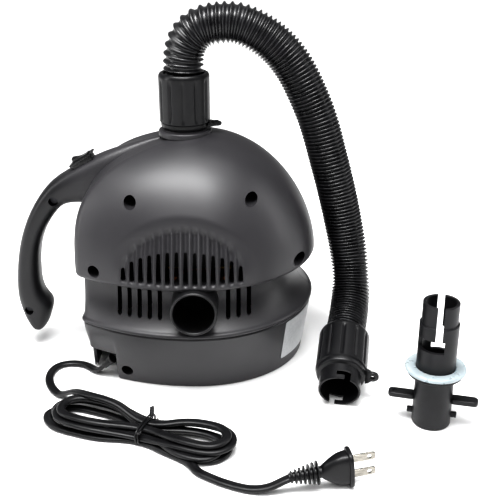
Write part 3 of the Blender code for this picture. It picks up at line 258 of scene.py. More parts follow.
def spline_route(points, spacing):
    """Even steps along the natural cubic spline through some points: each span is the cubic
    whose bend runs straight from knot to knot, with no bend at the two ends."""
    points = np.array(points, float)
    knots = np.concatenate([[0], np.cumsum(np.linalg.norm(np.diff(points, axis=0), axis=1))])
    span = np.diff(knots)
    count = len(points)
    system = np.eye(count)
    right = np.zeros((count, 3))
    inner = np.arange(1, count - 1)
    system[inner, inner - 1] = span[:-1]
    system[inner, inner] = 2 * (span[:-1] + span[1:])
    system[inner, inner + 1] = span[1:]
    rise = np.diff(points, axis=0) / span[:, None]
    right[inner] = 6 * np.diff(rise, axis=0)
    bend = np.linalg.solve(system, right)
    fine = np.linspace(0, knots[-1], 60 * count)
    k = np.clip(np.searchsorted(knots, fine, side="right") - 1, 0, count - 2)
    h = span[k][:, None]
    after = (fine - knots[k])[:, None]
    before = h - after
    curve = (
        (bend[k] * before**3 + bend[k + 1] * after**3) / (6 * h)
        + (points[k] / h - bend[k] * h / 6) * before
        + (points[k + 1] / h - bend[k + 1] * h / 6) * after
    )
    travel = np.concatenate([[0], np.cumsum(np.linalg.norm(np.diff(curve, axis=0), axis=1))])
    even = np.linspace(0, travel[-1], max(2, round(travel[-1] / spacing)) + 1)
    return np.stack([np.interp(even, travel, curve[:, axis]) for axis in range(3)], axis=1)


def along_route(route):
    """Unit tangents of a route, and the distance travelled at each point."""
    tangent = np.gradient(route, axis=0)
    tangent /= np.linalg.norm(tangent, axis=1, keepdims=True)
    steps = np.linalg.norm(np.diff(route, axis=0), axis=1)
    return tangent, np.concatenate([[0], np.cumsum(steps)])


def upright_frame(tangent, side_hint):
    """Two unit vectors square to each tangent, the first as near as can be to side_hint."""
    side = side_hint - (side_hint * tangent).sum(axis=1, keepdims=True) * tangent
    side /= np.linalg.norm(side, axis=1, keepdims=True)
    return side, np.cross(tangent, side)


def smooth_step(value, low, high):
    """0 below low, 1 above high, and a cubic ease between them."""
    share = np.clip((value - low) / (high - low), 0, 1)
    return share * share * (3 - 2 * share)


hose_line = spline_route(HOSE_ROUTE, 0.00042)
hose_tangent, _ = along_route(hose_line)
tuck_steps = np.arange(int(HOSE_TUCK / 0.00042), 0, -1)[:, None] * 0.00042
hose_line = np.concatenate([
    hose_line[0] - tuck_steps * hose_tangent[0],
    hose_line,
    hose_line[-1] + tuck_steps[::-1] * hose_tangent[-1],
])
hose_tangent, hose_travel = along_route(hose_line)
hose_side, hose_front = upright_frame(hose_tangent, np.array([[0.0, 1.0, 0.0]]))
closing = smooth_step(hose_travel, RIB_OPEN_LENGTH, 2.2 * RIB_OPEN_LENGTH)
rib_pitch = RIB_PITCH_OPEN + (RIB_PITCH_CLOSED - RIB_PITCH_OPEN) * closing
rib_phase = np.concatenate([[0], np.cumsum(np.diff(hose_travel) / rib_pitch[1:])])
hose_turn = np.linspace(0, 2 * math.pi, HOSE_SIDES, endpoint=False)
# Rib height is a narrow crest once every pitch, and the crest climbs one pitch in a turn.
crest = 0.5 + 0.5 * np.cos(2 * math.pi * rib_phase[:, None] + hose_turn[None])
crest = crest ** (1.9 - 0.7 * closing[:, None])
hose_r = HOSE_VALLEY_R + (HOSE_D / 2 - HOSE_VALLEY_R) * crest
tucked = 1 - np.minimum(
    smooth_step(hose_travel, 0.0, HOSE_TUCK),
    smooth_step(hose_travel[-1] - hose_travel, 0.0, HOSE_TUCK),
)
hose_r = hose_r - 0.0012 * tucked[:, None]
hose_points = hose_line[:, None] + hose_r[..., None] * (
    np.cos(hose_turn)[None, :, None] * hose_side[:, None]
    + np.sin(hose_turn)[None, :, None] * hose_front[:, None]
)
hose_uv = np.stack(np.broadcast_arrays(
    hose_turn[None] * HOSE_D / 2, hose_travel[:, None]
), axis=-1)
hose_black, hose_shader, hose_tree = finish("hose_black_pvc", (0.011, 0.011, 0.012), 0.30)
hose_shader.inputs["Coat Weight"].default_value = 0.25
hose_shader.inputs["Coat Roughness"].default_value = 0.18
hose_cloud = pattern(hose_tree, "ShaderNodeTexNoise", 90.0, Detail=6.0)
tint(hose_tree, hose_shader, hose_cloud.outputs["Fac"], (0.008, 0.008, 0.009), (0.018, 0.018, 0.020))
dull(hose_tree, hose_shader, hose_cloud.outputs["Fac"], 0.22, 0.38)
hose_skin = pattern(hose_tree, "ShaderNodeTexNoise", 1400.0, Detail=3.0)
relief(hose_tree, hose_shader, hose_skin.outputs["Fac"], 0.00006, 0.6)
hose_mesh = grid_mesh("stretch_hose", hose_points, True, True, hose_uv)
hose = piece("stretch_hose", hose_mesh, "housing", hose_black)
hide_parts("hose")
HOSE_LENGTH = float(np.linalg.norm(np.diff(spline_route(HOSE_ROUTE, 0.002), axis=0), axis=1).sum())

# ---- Mains lead --------------------------------------------------------------------------
# Flat twin cord, two cores side by side in one black PVC jacket. It is folded back and forth
# into a hank that a twist tie holds at its waist, with the plug lying in front.
LEAD_ROUTE = (
    (-0.0795, -0.0662, 0.0112), (-0.0838, -0.0646, 0.0066), (-0.0885, -0.0612, 0.0032),
    (-0.0935, -0.0562, 0.0021), (-0.0990, -0.0518, 0.0021), (-0.1070, -0.0489, 0.0021),
    (-0.1160, -0.0492, 0.0021), (-0.1235, -0.0540, 0.0021), (-0.1270, -0.0640, 0.0021),
    (-0.1262, -0.0760, 0.0021), (-0.1215, -0.0880, 0.0021), (-0.1140, -0.0980, 0.0021),
)
TAIL_ROUTE = (
    (0.0066, -0.2003, 0.0021), (0.0140, -0.2065, 0.0021), (0.0240, -0.2127, 0.0021),
    (0.0350, -0.2180, 0.0022), (0.0470, -0.2220, 0.0030), (0.0600, -0.2225, 0.0058),
    (0.0713, -0.2204, 0.0104),
)
CORD_WIDTH = 0.0071
CORD_THICK = 0.0041
HANK_FROM = Vector((-0.113, -0.124, 0.0))
HANK_ALONG = Vector((0.150, -0.059, 0.0)).normalized()
HANK_ACROSS = Vector((-HANK_ALONG.y, HANK_ALONG.x, 0.0))
TIE_U = 0.084
# One row a strand, going right, then left: how far across it lies at the left end, in the
# tie and at the right end, and how high it lies at each.
STRANDS = (
    ((0.0120, 0.0036, 0.0150), (0.0165, 0.0093, 0.0130)),
    ((-0.0150, -0.0036, -0.0120), (0.0130, 0.0093, 0.0130)),
    ((0.0130, 0.0106, 0.0185), (0.0130, 0.0056, 0.0093)),
    ((-0.0185, -0.0106, -0.0145), (0.0093, 0.0056, 0.0093)),
    ((0.0170, 0.0036, 0.0125), (0.0093, 0.0056, 0.0056)),
    ((-0.0130, -0.0036, -0.0190), (0.0056, 0.0056, 0.0056)),
    ((0.0195, 0.0106, 0.0165), (0.0056, 0.0019, 0.0019)),
    ((0.0120, 0.0036, -0.0165), (0.0019, 0.0019, 0.0019)),
    ((-0.0190, -0.0106, -0.0180), (0.0019, 0.0019, 0.0019)),
)
LEFT_ENDS = (0.012, 0.008, 0.003, -0.001)
RIGHT_ENDS = (0.150, 0.154, 0.147, 0.151)


def on_hank(u, v, w):
    """A point that far along, across and above the hank, in the row frame."""
    return tuple(HANK_FROM + HANK_ALONG * u + HANK_ACROSS * v + Vector((0, 0, w)))


def hank_route():
    """The hank's own points: each strand runs end to end through the tie, and each fold is
    half an ellipse from one strand to the next, with three points."""
    points = []
    last = len(STRANDS) - 1
    for i, (across, high) in enumerate(STRANDS):
        along = np.array([0.030, 0.055, TIE_U - 0.010, TIE_U + 0.010, 0.108, 0.130])
        knots = np.array([0.024, TIE_U, 0.134])
        near = np.exp(-(((along - TIE_U) / 0.024) ** 2))
        ends = np.where(along < TIE_U, across[0], across[2])
        rise = np.where(along < TIE_U, high[0], high[2])
        v = across[1] * near + ends * (1 - near)
        w = high[1] * near + rise * (1 - near)
        strand = [on_hank(*p) for p in zip(along, v, w)]
        points += strand if i % 2 == 0 else strand[::-1]
        if i == last:
            break
        side = 2 if i % 2 == 0 else 0
        start, end = across[side], STRANDS[i + 1][0][side]
        low, top = high[side], STRANDS[i + 1][1][side]
        reach = (RIGHT_ENDS if side else LEFT_ENDS)[i // 2]
        foot = 0.134 if side else 0.026
        for a in (0.25 * math.pi, 0.5 * math.pi, 0.75 * math.pi):
            share = 0.5 - 0.5 * math.cos(a)
            points.append(on_hank(
                foot + (reach - foot) * math.sin(a),
                start + (end - start) * share,
                low + (top - low) * share,
            ))
    return points


ENTRY = (on_hank(0.003, 0.0205, 0.0085), on_hank(0.014, 0.0165, 0.0135))
EXIT = (on_hank(0.134, -0.0235, 0.0019),)
PLUG_AT = Vector((0.1160, -0.2120, 0.0146))
PLUG_TURN = Matrix.Rotation(math.radians(10.8), 4, "Z") @ Matrix.Rotation(math.radians(-4.0), 4, "Y")
PLUG_FRAME = Matrix.Translation(PLUG_AT) @ PLUG_TURN
relief_aim = (Vector(LEAD_ROUTE[0]) - Vector(LEAD_ROUTE[1])).normalized()
cord_knots = [tuple(Vector(LEAD_ROUTE[0]) + relief_aim * 0.009), *LEAD_ROUTE, *ENTRY]
cord_knots += [*hank_route()[:-1], *EXIT, *TAIL_ROUTE, tuple(PLUG_FRAME @ Vector((-0.037, 0, 0)))]
cord_line = spline_route(cord_knots, 0.0016)
cord_line[:, 2] = np.maximum(cord_line[:, 2], CORD_THICK / 2 + 0.0001)
cord_tangent, cord_travel = along_route(cord_line)
cord_up, cord_out = upright_frame(cord_tangent, np.array([[0.0, 0.0, 1.0]]))
cord_turn = np.linspace(0, 2 * math.pi, 24, endpoint=False)
# Section: a flat oval, drawn in to a groove where the two cores meet.
oval_x = np.cos(cord_turn) * CORD_WIDTH / 2
groove = 1 - 0.26 * np.exp(-((oval_x / 0.0008) ** 2))
oval_y = np.sign(np.sin(cord_turn)) * np.abs(np.sin(cord_turn)) ** 0.75 * CORD_THICK / 2 * groove
cord_points = (
    cord_line[:, None]
    + oval_x[None, :, None] * cord_out[:, None]
    + oval_y[None, :, None] * cord_up[:, None]
)
cord_uv = np.stack(np.broadcast_arrays(cord_turn[None] * 0.0025, cord_travel[:, None]), axis=-1)
cord_black, cord_shader, cord_tree = finish("cord_black_pvc", (0.009, 0.009, 0.010), 0.38, ior=1.42)
cord_cloud = pattern(cord_tree, "ShaderNodeTexNoise", 60.0, Detail=5.0)
tint(cord_tree, cord_shader, cord_cloud.outputs["Fac"], (0.007, 0.007, 0.008), (0.014, 0.014, 0.015))
dull(cord_tree, cord_shader, cord_cloud.outputs["Fac"], 0.28, 0.46)
cord_skin = pattern(cord_tree, "ShaderNodeTexNoise", 1800.0, Detail=2.0)
relief(cord_tree, cord_shader, cord_skin.outputs["Fac"], 0.00005, 0.5)
lead_mesh = grid_mesh("mains_lead", cord_points, True, True, cord_uv)
lead = piece("mains_lead", lead_mesh, "housing", cord_black)
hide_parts("cord_lead", "cord_hank", "cord_tail")


def swept(route, radius, sides, squash=1.0):
    """A round tube of points along a route; radius may change from point to point."""
    tangent, _ = along_route(route)
    side, front = upright_frame(tangent, np.array([[0.03, 0.05, 1.0]]))
    turn = np.linspace(0, 2 * math.pi, sides, endpoint=False)
    radius = np.broadcast_to(radius, len(route))[:, None, None]
    return route[:, None] + radius * (
        np.cos(turn)[None, :, None] * side[:, None] * squash
        + np.sin(turn)[None, :, None] * front[:, None]
    )


# Tie: a paper-covered wire wound twice round the waist, with a twisted pair of ends on top.
TIE_HALF_WIDTH = 0.0152
TIE_HEIGHT = 0.0122
TIE_WIRE_R = 0.0008
tie_turn = np.linspace(0, 4 * math.pi, 160)
tie_u = TIE_U + 0.0022 * (tie_turn / (2 * math.pi) - 1)
tie_v = np.cos(tie_turn) * TIE_HALF_WIDTH
tie_w = TIE_HEIGHT / 2 + 0.0005 + np.sin(tie_turn) * TIE_HEIGHT / 2
tie_v = np.sign(tie_v) * np.abs(tie_v / TIE_HALF_WIDTH) ** 0.55 * TIE_HALF_WIDTH
tie_rise = np.sign(np.sin(tie_turn)) * np.abs(np.sin(tie_turn)) ** 0.7
tie_w = TIE_HEIGHT / 2 + 0.0006 + tie_rise * TIE_HEIGHT / 2
tie_line = np.array([on_hank(*p) for p in zip(tie_u, tie_v, tie_w)])
cord_tie = piece(
    "twist_tie", grid_mesh("twist_tie", swept(tie_line, TIE_WIRE_R, 10), True, True),
    "housing", cord_black,
)
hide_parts("cord_tie")
twist = np.linspace(0, 1, 70)
knots = []
for k, (v, w, lean) in enumerate(((0.0100, 0.0125, 1.0), (-0.0125, 0.0105, -1.0))):
    for turn in (0.0, math.pi):
        spin = turn + 5.5 * math.pi * twist
        reach = 0.0012 * (1 - 0.25 * twist)
        line = np.stack([
            TIE_U + 0.004 * twist * (1 if k else -0.4) + reach * np.cos(spin),
            v + lean * 0.0042 * twist + reach * np.sin(spin),
            w + 0.0048 * twist,
        ], axis=1)
        points = np.array([on_hank(*p) for p in line])
        knots.append(grid_mesh(f"knot_{len(knots)}", swept(points, 0.0008, 8), True, True))


def joined(name, meshes):
    """Several meshes as one, each kept as its own closed skin."""
    bm = bmesh.new()
    for mesh in meshes:
        bm.from_mesh(mesh)
        bpy.data.meshes.remove(mesh)
    mesh = bpy.data.meshes.new(name)
    bm.to_mesh(mesh)
    bm.free()
    return mesh


tie_ends = piece("twist_tie_ends", joined("twist_tie_ends", knots), "housing", cord_black)

# ---- Plug --------------------------------------------------------------------------------
# Moulded on the cord in the same PVC: seven growing rings that let the cord bend, a body
# that flares to a flange to pull by, and two nickel-plated blades with a hole near the tip.
PLUG_FLANGE = (0.0030, 0.0190, 0.0285)
RINGS = 7
RING_FIRST_X = -0.0432
RING_PITCH = 0.0031
BODY_FROM_X = -0.0215
BLADE = (0.0179, 0.0015, 0.00635)
BLADE_PITCH = 0.0127


def placed(mesh, place):
    """The mesh with its place put into its points."""
    mesh.transform(place)
    return mesh


# Half width and half height along the plug, and how square the section is.
x = np.concatenate([
    np.linspace(-0.0452, BODY_FROM_X, 110), np.linspace(BODY_FROM_X, -0.0031, 26)[1:],
    np.array([-0.0030, -0.0030, -0.0027, -0.0022, -0.0008, -0.0003, 0.0]),
])
ring_index = np.clip((x - RING_FIRST_X) / RING_PITCH, -1, RINGS)
ring_near = np.abs(ring_index - np.round(ring_index)) * RING_PITCH
ring_grow = np.clip(np.round(ring_index), 0, RINGS - 1) / (RINGS - 1)
in_rings = (ring_index > -0.5) & (ring_index < RINGS - 0.5)
ring_step = 1 - smooth_step(ring_near, 0.00055, 0.00085)
core = 0.0030 + 0.0012 * np.clip((x + 0.0452) / 0.0235, 0, 1)
ring_r = 0.0046 + 0.0044 * ring_grow
flare = np.clip((x - BODY_FROM_X) / (-0.0031 - BODY_FROM_X), 0, 1)
half_y = np.where(x < BODY_FROM_X, core, 0.0042 + 0.0030 * flare**0.7)
half_z = np.where(x < BODY_FROM_X, core, 0.0045 + 0.0080 * np.sin(0.5 * math.pi * flare) ** 0.85)
half_y = half_y + np.where(in_rings, ring_step * (0.82 * ring_r - core), 0.0)
half_z = half_z + np.where(in_rings, ring_step * (ring_r - core), 0.0)
rim = np.array([0.0, 0.55, 0.88, 1.0, 1.0, 0.93, 0.80])
half_y[-7:] = 0.0073 + (PLUG_FLANGE[1] / 2 - 0.0073) * rim
half_z[-7:] = 0.0127 + (PLUG_FLANGE[2] / 2 - 0.0127) * rim
square = 1 - 0.42 * smooth_step(x, BODY_FROM_X, -0.010)
turn = np.linspace(0, 2 * math.pi, 48, endpoint=False)
cosine, sine = np.cos(turn)[None], np.sin(turn)[None]
plug_grid = np.stack([
    np.broadcast_to(x[:, None], (len(x), 48)),
    half_y[:, None] * np.sign(cosine) * np.abs(cosine) ** square[:, None],
    half_z[:, None] * np.sign(sine) * np.abs(sine) ** square[:, None],
], axis=-1)
plug = piece(
    "plug_moulding", placed(grid_mesh("plug_moulding", plug_grid, True, True), PLUG_FRAME),
    "housing", cord_black, smooth=50,
)
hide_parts("plug_body")

nickel, nickel_shader, nickel_tree = finish("nickel_plate", (0.32, 0.31, 0.28), 0.24, 1.0)
brushed = pattern(nickel_tree, "ShaderNodeTexNoise", 300.0, stretch=(0.15, 3.0, 3.0), Detail=4.0)
dull(nickel_tree, nickel_shader, brushed.outputs["Fac"], 0.16, 0.34)
tint(nickel_tree, nickel_shader, brushed.outputs["Fac"], (0.22, 0.21, 0.19), (0.40, 0.38, 0.34))
relief(nickel_tree, nickel_shader, brushed.outputs["Fac"], 0.00003, 0.5)


def blade_mesh(name):
    """A flat blade with a rounded tip and a round hole: rings of points from the hole out to
    the outline, on both faces, joined round the hole and round the edge."""
    length, thick, high = BLADE
    hole_x, hole_r = length - 0.0045, 0.0016
    turn = np.linspace(0, 2 * math.pi, 64, endpoint=False)
    c, s = np.cos(turn), np.sin(turn)
    reach_x = np.where(c > 0, length - hole_x, hole_x + 0.002)
    out = 1 / (np.abs(c / reach_x) ** 4 + np.abs(s / (high / 2)) ** 4) ** 0.25
    steps = [hole_r, hole_r, hole_r + 0.00025, out - 0.0005, out - 0.00018, out, out]
    sides = [0.0, 0.8, 1.0, 1.0, 0.85, 0.55, 0.0]
    rows = [
        np.stack([hole_x + r * c, np.full(64, t * thick / 2), r * s], axis=1)
        for r, t in zip(steps, sides)
    ]
    back = [row * (1, -1, 1) for row in rows[-2:0:-1]]
    rings = np.stack([*rows, *back])
    return grid_mesh(name, np.concatenate([rings, rings[:1]]), True)


for name, side in (("upper", 1), ("lower", -1)):
    mesh = placed(blade_mesh(f"blade_{name}"), Matrix.Translation((0, 0, side * BLADE_PITCH / 2)))
    bm = bmesh.new()
    bm.from_mesh(mesh)
    bmesh.ops.remove_doubles(bm, verts=bm.verts, dist=1e-6)
    bm.to_mesh(mesh)
    bm.free()
    blade = piece(f"blade_{name}", placed(mesh, PLUG_FRAME), "housing", nickel, smooth=40)
    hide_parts(f"plug_blade_{name}")

# Strain relief: a short tapered sleeve with a collar, gripped by the corner of the base.
relief_end = Vector(LEAD_ROUTE[0])
relief_x = np.array([0.0, 0.0002, 0.0020, 0.0050, 0.0080, 0.0094, 0.0094, 0.0098, 0.0109, 0.0112])
relief_r = np.array([0.0026, 0.0029, 0.0030, 0.0032, 0.0034, 0.0035, 0.0040, 0.0042, 0.0042, 0.0039])
relief_line = np.array(relief_end)[None] + relief_x[:, None] * np.array(relief_aim)[None]
sleeve_tangent = np.repeat(np.array(relief_aim)[None], len(relief_x), axis=0)
sleeve_up, sleeve_out = upright_frame(sleeve_tangent, np.array([[0.0, 0.0, 1.0]]))
sleeve_wide = 1 + 0.40 * (1 - smooth_step(relief_x, 0.004, 0.0094))
sleeve_points = relief_line[:, None] + relief_r[:, None, None] * (
    np.cos(turn)[None, :, None] * sleeve_up[:, None]
    + np.sin(turn)[None, :, None] * sleeve_out[:, None] * sleeve_wide[:, None, None]
)
sleeve = piece(
    "cord_sleeve", grid_mesh("cord_sleeve", sleeve_points, True, True), "housing", cord_black, smooth=40
)
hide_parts("strain_relief")

# ---- Housing shells ----------------------------------------------------------------------
# Two mouldings of charcoal ABS that meet upright through the handle. The front one has the
# grille, the port and the screw wells; the base flares to a beaded lip under a deep cove.
REAR_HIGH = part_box("rear_shell")[1]
LIP_R = REAR_HIGH.y - 0.001
FLAT_X = 0.096
TOP_Z = REAR_HIGH.z
RIM_Z = 0.0985
RIM_R = 0.102
DOME_LEFT = 0.0985
WAIST_R = 0.0825
BASE_TOP_Z = 0.0520
WALL = 0.0026
SEAM = 0.00004
LEFT_ARC_R = LIP_R + 0.062
CORNER_R = 0.010
ARCH_MID_X = -0.008
ARCH_HALF = 0.053
ARCH_FOOT_Z = 0.1005
ARCH_RISE = 0.0445
SLOT_FIRST_X = -0.0559
SLOT_PITCH = 0.0072
SLOT_COUNT = 14
SLOT_WIDTH = 0.0040
WAIST_SLOTS = ((-0.0620, 5), (0.0272, 3))
WAIST_SLOT_PITCH = 0.00845
CREASE_X = -0.068
SCOOP_DEPTH = 0.0034
GROOVE_DEPTH = 0.0027
WELL_R = 0.0050
# Section of the bead round the lip: heights, and how far each stands out.
LIP_BEAD = np.array((
    (0.0527, -0.0004), (0.0531, -0.0009), (0.0536, -0.0009), (0.0540, -0.0001), (0.0546, 0.0010),
    (0.0554, 0.0015), (0.0562, 0.0015), (0.0570, 0.0009), (0.0576, 0.0), (0.0580, -0.0009),
)).T
# Section of the shelf under the dome and its rounded rim: heights, and how far each stands
# out past the waist on the round side and on the flat left end.
DOME_SHELF = np.array((
    (0.0915, 0.0, 0.0), (0.0932, 0.0, 0.0), (0.0940, 0.0002, 0.0), (0.0946, 0.0009, 0.0003),
    (0.0949, 0.0022, 0.0007), (0.0950, 0.0060, 0.0012), (0.0950, 0.0130, 0.0016),
    (0.0951, 0.0156, 0.0022), (0.0955, 0.0172, 0.0030), (0.0963, 0.0184, 0.0036),
    (0.0974, 0.0191, 0.0039),
)).T


def plan_table(count=1600):
    """Outline of the lip from the left seam round the front to the right seam: a flat end, a
    corner fillet, a long arc about a point behind, then a quarter of a circle."""
    arc_y = LEFT_ARC_R - LIP_R
    corner_x = -FLAT_X + CORNER_R
    fall = math.sqrt((LEFT_ARC_R - CORNER_R) ** 2 - corner_x**2)
    lean = math.atan2(fall, -corner_x)
    corner_y = arc_y - fall
    corner = math.pi + np.linspace(0, lean, count // 4)
    bow = np.linspace(math.pi + lean, 1.5 * math.pi, count // 4)[1:]
    right = np.linspace(1.5 * math.pi, 2 * math.pi, count // 2)[1:]
    x = np.concatenate([
        [-FLAT_X], corner_x + CORNER_R * np.cos(corner),
        LEFT_ARC_R * np.cos(bow), LIP_R * np.cos(right),
    ])
    y = np.concatenate([
        [0.0], corner_y + CORNER_R * np.sin(corner),
        arc_y + LEFT_ARC_R * np.sin(bow), LIP_R * np.sin(right),
    ])
    travel = np.concatenate([[0], np.cumsum(np.hypot(np.diff(x), np.diff(y)))])
    return x, y, travel


PLAN_X, PLAN_Y, PLAN_S = plan_table()
PLAN_RISING = np.maximum.accumulate(PLAN_X + 1e-9 * np.arange(len(PLAN_X)))


def outside_rows():
    """Rows up the outside: height, then reach to the right, to the left and to the front. The
    base leans out in a line, the lip is a groove and a bead, the waist is a cove that falls
    with a power of the height, and the dome follows two powers of its own height."""
    foot = np.array([0.0, 0.0003, 0.0010, 0.0020])
    tuck = np.array([0.0014, 0.0007, 0.0001, 0.0])
    base_z = np.concatenate([foot, np.linspace(0.004, BASE_TOP_Z, 20)])
    base_in = np.concatenate([tuck, np.zeros(20)])
    share = base_z / BASE_TOP_Z
    rows = [np.stack([
        base_z, 0.092 + 0.0075 * share - base_in, 0.0925 + 0.0025 * share - base_in,
        0.084 + 0.0155 * share - base_in,
    ], axis=1)]
    bead_z, bead = LIP_BEAD
    rows.append(np.stack([bead_z, 0.0995 + bead, 0.0950 + 0.7 * bead, 0.0995 + bead], axis=1))
    climb = np.linspace(0, 1, 24)
    fall = (1 - climb) ** 2.5
    rows.append(np.stack([
        0.0583 + 0.0307 * climb, WAIST_R + (0.0980 - WAIST_R) * fall,
        0.0942 + 0.0002 * fall, WAIST_R - 0.0005 + (0.0980 - WAIST_R + 0.0005) * fall,
    ], axis=1))
    under_z, under, flat_end = DOME_SHELF
    rows.append(np.stack([
        under_z, WAIST_R + under, 0.0942 + flat_end, WAIST_R - 0.0005 + under * 0.93,
    ], axis=1))
    climb = np.linspace(0, math.radians(86.0), 104)
    height = np.sin(climb) ** (2 / 1.7)
    side = np.cos(climb) ** (2 / 2.1)
    rows.append(np.stack([
        RIM_Z + height * (TOP_Z - RIM_Z), RIM_R * side,
        DOME_LEFT * (1 - height**4) ** (1 / 1.3), 0.100 * side,
    ], axis=1))
    return np.concatenate(rows)


def shell_surface(rows, columns_x, left_count, right_count):
    """Front half of the outside on a grid. Between the first and last of columns_x each column
    keeps its own x from the floor to high on the dome; past them, columns spread evenly
    along the outline. Above, all of them slide over to the outline's own shares."""
    z, right, left, depth = rows.T
    drift = smooth_step(z, 0.150, 0.178)[:, None]
    rim = np.argmin(np.abs(z - RIM_Z))

    def travel_at(x, k):
        """Length along the outline, from the left seam, to the place with this x on row k."""
        scale = np.where(x > 0, right[k] / LIP_R, left[k] / FLAT_X)
        return np.interp(x / scale, PLAN_RISING, PLAN_S)

    fixed = travel_at(columns_x[None], np.full((len(z), 1), rim))
    kept = travel_at(columns_x[None], np.arange(len(z))[:, None])
    middle = kept * (1 - drift) + fixed * drift
    edge = 0.0005 / PLAN_S[-1]
    left_share = np.concatenate([[0, edge, 3 * edge], np.linspace(0, 1, left_count)[1:-1]])
    right_share = np.concatenate([np.linspace(0, 1, right_count)[1:-1], [1 - 3 * edge, 1 - edge, 1]])
    end = PLAN_S[-1]
    travel = np.concatenate([
        middle[:, :1] * left_share[None], middle,
        middle[:, -1:] + (end - middle[:, -1:]) * right_share[None],
    ], axis=1)
    x = np.interp(travel, PLAN_S, PLAN_X)
    y = np.interp(travel, PLAN_S, PLAN_Y)
    reach_x = np.where(x > 0, right[:, None] / LIP_R, left[:, None] / FLAT_X)
    return np.stack([
        x * reach_x, y * depth[:, None] / LIP_R, np.broadcast_to(z[:, None], x.shape)
    ], axis=-1)


def outward(points):
    """Unit normals of a grid, away from the housing's middle."""
    across = np.gradient(points, axis=1)
    up = np.gradient(points, axis=0)
    normal = np.cross(across, up)
    normal /= np.maximum(np.linalg.norm(normal, axis=-1, keepdims=True), 1e-12)
    away = (normal * (points - (0, 0, 0.09))).sum(axis=-1, keepdims=True)
    return normal * np.sign(np.median(away))


def arch_height(x):
    """Height of the grille's arch, half an ellipse, above a place across the front."""
    away = (x - ARCH_MID_X) / ARCH_HALF
    return ARCH_FOOT_Z + ARCH_RISE * np.sqrt(np.maximum(0.0, 1 - away**2))


def front_relief(points):
    """How far the front sinks below the plain outside: a scoop that deepens up to the arch,
    a rounded groove at each slot that dies out at the arch, and the step over the corner."""
    x, z = points[..., 0], points[..., 2]
    across = (x - ARCH_MID_X) / (ARCH_HALF + 0.004)
    high = np.maximum(z - ARCH_FOOT_Z, 0) / (ARCH_RISE + 0.004)
    place = np.sqrt(across**2 + high**2)
    on_dome = smooth_step(z, RIM_Z + 0.0005, RIM_Z + 0.0035)
    scoop = SCOOP_DEPTH * (1 - smooth_step(place, 0.86, 1.10)) * smooth_step(z, 0.103, 0.136)
    wave = 0.5 + 0.5 * np.cos(2 * math.pi * (x - SLOT_FIRST_X) / SLOT_PITCH)
    ends = (x > SLOT_FIRST_X - SLOT_PITCH / 2) & (x < SLOT_FIRST_X + (SLOT_COUNT - 0.5) * SLOT_PITCH)
    inside = (1 - smooth_step(place, 0.84, 0.955)) * on_dome * ends
    groove = GROOVE_DEPTH * wave**0.7 * inside
    step = 0.0014 * (1 - smooth_step(x, CREASE_X - 0.0014, CREASE_X + 0.0016))
    step *= 1 - smooth_step(z, 0.030, 0.046)
    return scoop * on_dome + groove + step * (points[..., 1] < -0.03)


def front_y(x, z):
    """Depth of the plain outside at a place seen from the front, on the dome or the base."""
    right, left, depth = (np.interp(z, OUTSIDE[:, 0], OUTSIDE[:, i]) for i in (1, 2, 3))
    scale = np.where(x > 0, right / LIP_R, left / FLAT_X)
    return np.interp(x / scale, PLAN_RISING, PLAN_Y) * depth / LIP_R


OUTSIDE = outside_rows()
charcoal, charcoal_shader, charcoal_tree = finish("charcoal_abs", (0.034, 0.033, 0.036), 0.38)
cloud = pattern(charcoal_tree, "ShaderNodeTexNoise", 22.0, Detail=5.0)
plain_shade = shade_between(
    charcoal_tree, cloud.outputs["Fac"], (0.031, 0.030, 0.033), (0.038, 0.037, 0.040)
)
# Painted shade on the grip: the charcoal mixes towards near black out along the hook, from where the
# ridge becomes the hook; the grip is the same plastic as the shells.
GRIP_FROM_X, GRIP_TO_X, GRIP_SHADE_SHARE = -0.125, -0.098, 0.85
spot = charcoal_tree.nodes.new("ShaderNodeTexCoord")
split = charcoal_tree.nodes.new("ShaderNodeSeparateXYZ")
charcoal_tree.links.new(spot.outputs["Object"], split.inputs["Vector"])
# How much painted shade: none on the ridge, most out along the hook.
grip_painted_shade = charcoal_tree.nodes.new("ShaderNodeMapRange")
grip_painted_shade.inputs["From Min"].default_value = GRIP_FROM_X
grip_painted_shade.inputs["From Max"].default_value = GRIP_TO_X
grip_painted_shade.inputs["To Min"].default_value = GRIP_SHADE_SHARE
grip_painted_shade.inputs["To Max"].default_value = 0.0
charcoal_tree.links.new(split.outputs["X"], grip_painted_shade.inputs["Value"])
grip_shade_mix = charcoal_tree.nodes.new("ShaderNodeMix")
grip_shade_mix.data_type = "RGBA"
charcoal_tree.links.new(grip_painted_shade.outputs["Result"], grip_shade_mix.inputs["Factor"])
charcoal_tree.links.new(plain_shade, grip_shade_mix.inputs["A"])
# Painted shade colour, near black, that the grip mixes towards.
grip_shade_mix.inputs["B"].default_value = (0.007, 0.007, 0.008, 1.0)
charcoal_tree.links.new(grip_shade_mix.outputs["Result"], charcoal_shader.inputs["Base Color"])
spark = pattern(charcoal_tree, "ShaderNodeTexNoise", 1500.0, Detail=3.0)
dull(charcoal_tree, charcoal_shader, spark.outputs["Fac"], 0.35, 0.43)
relief(charcoal_tree, charcoal_shader, spark.outputs["Fac"], 0.00004, 0.55)


def box_mesh(size, at, turn=None):
    """A box by its size and its middle."""
    bm = bmesh.new()
    bmesh.ops.create_cube(bm, size=1.0, matrix=Matrix.Diagonal((*size, 1.0)))
    mesh = bpy.data.meshes.new("box")
    bm.to_mesh(mesh)
    bm.free()
    place = Matrix.Translation(at)
    return placed(mesh, place if turn is None else place @ turn)


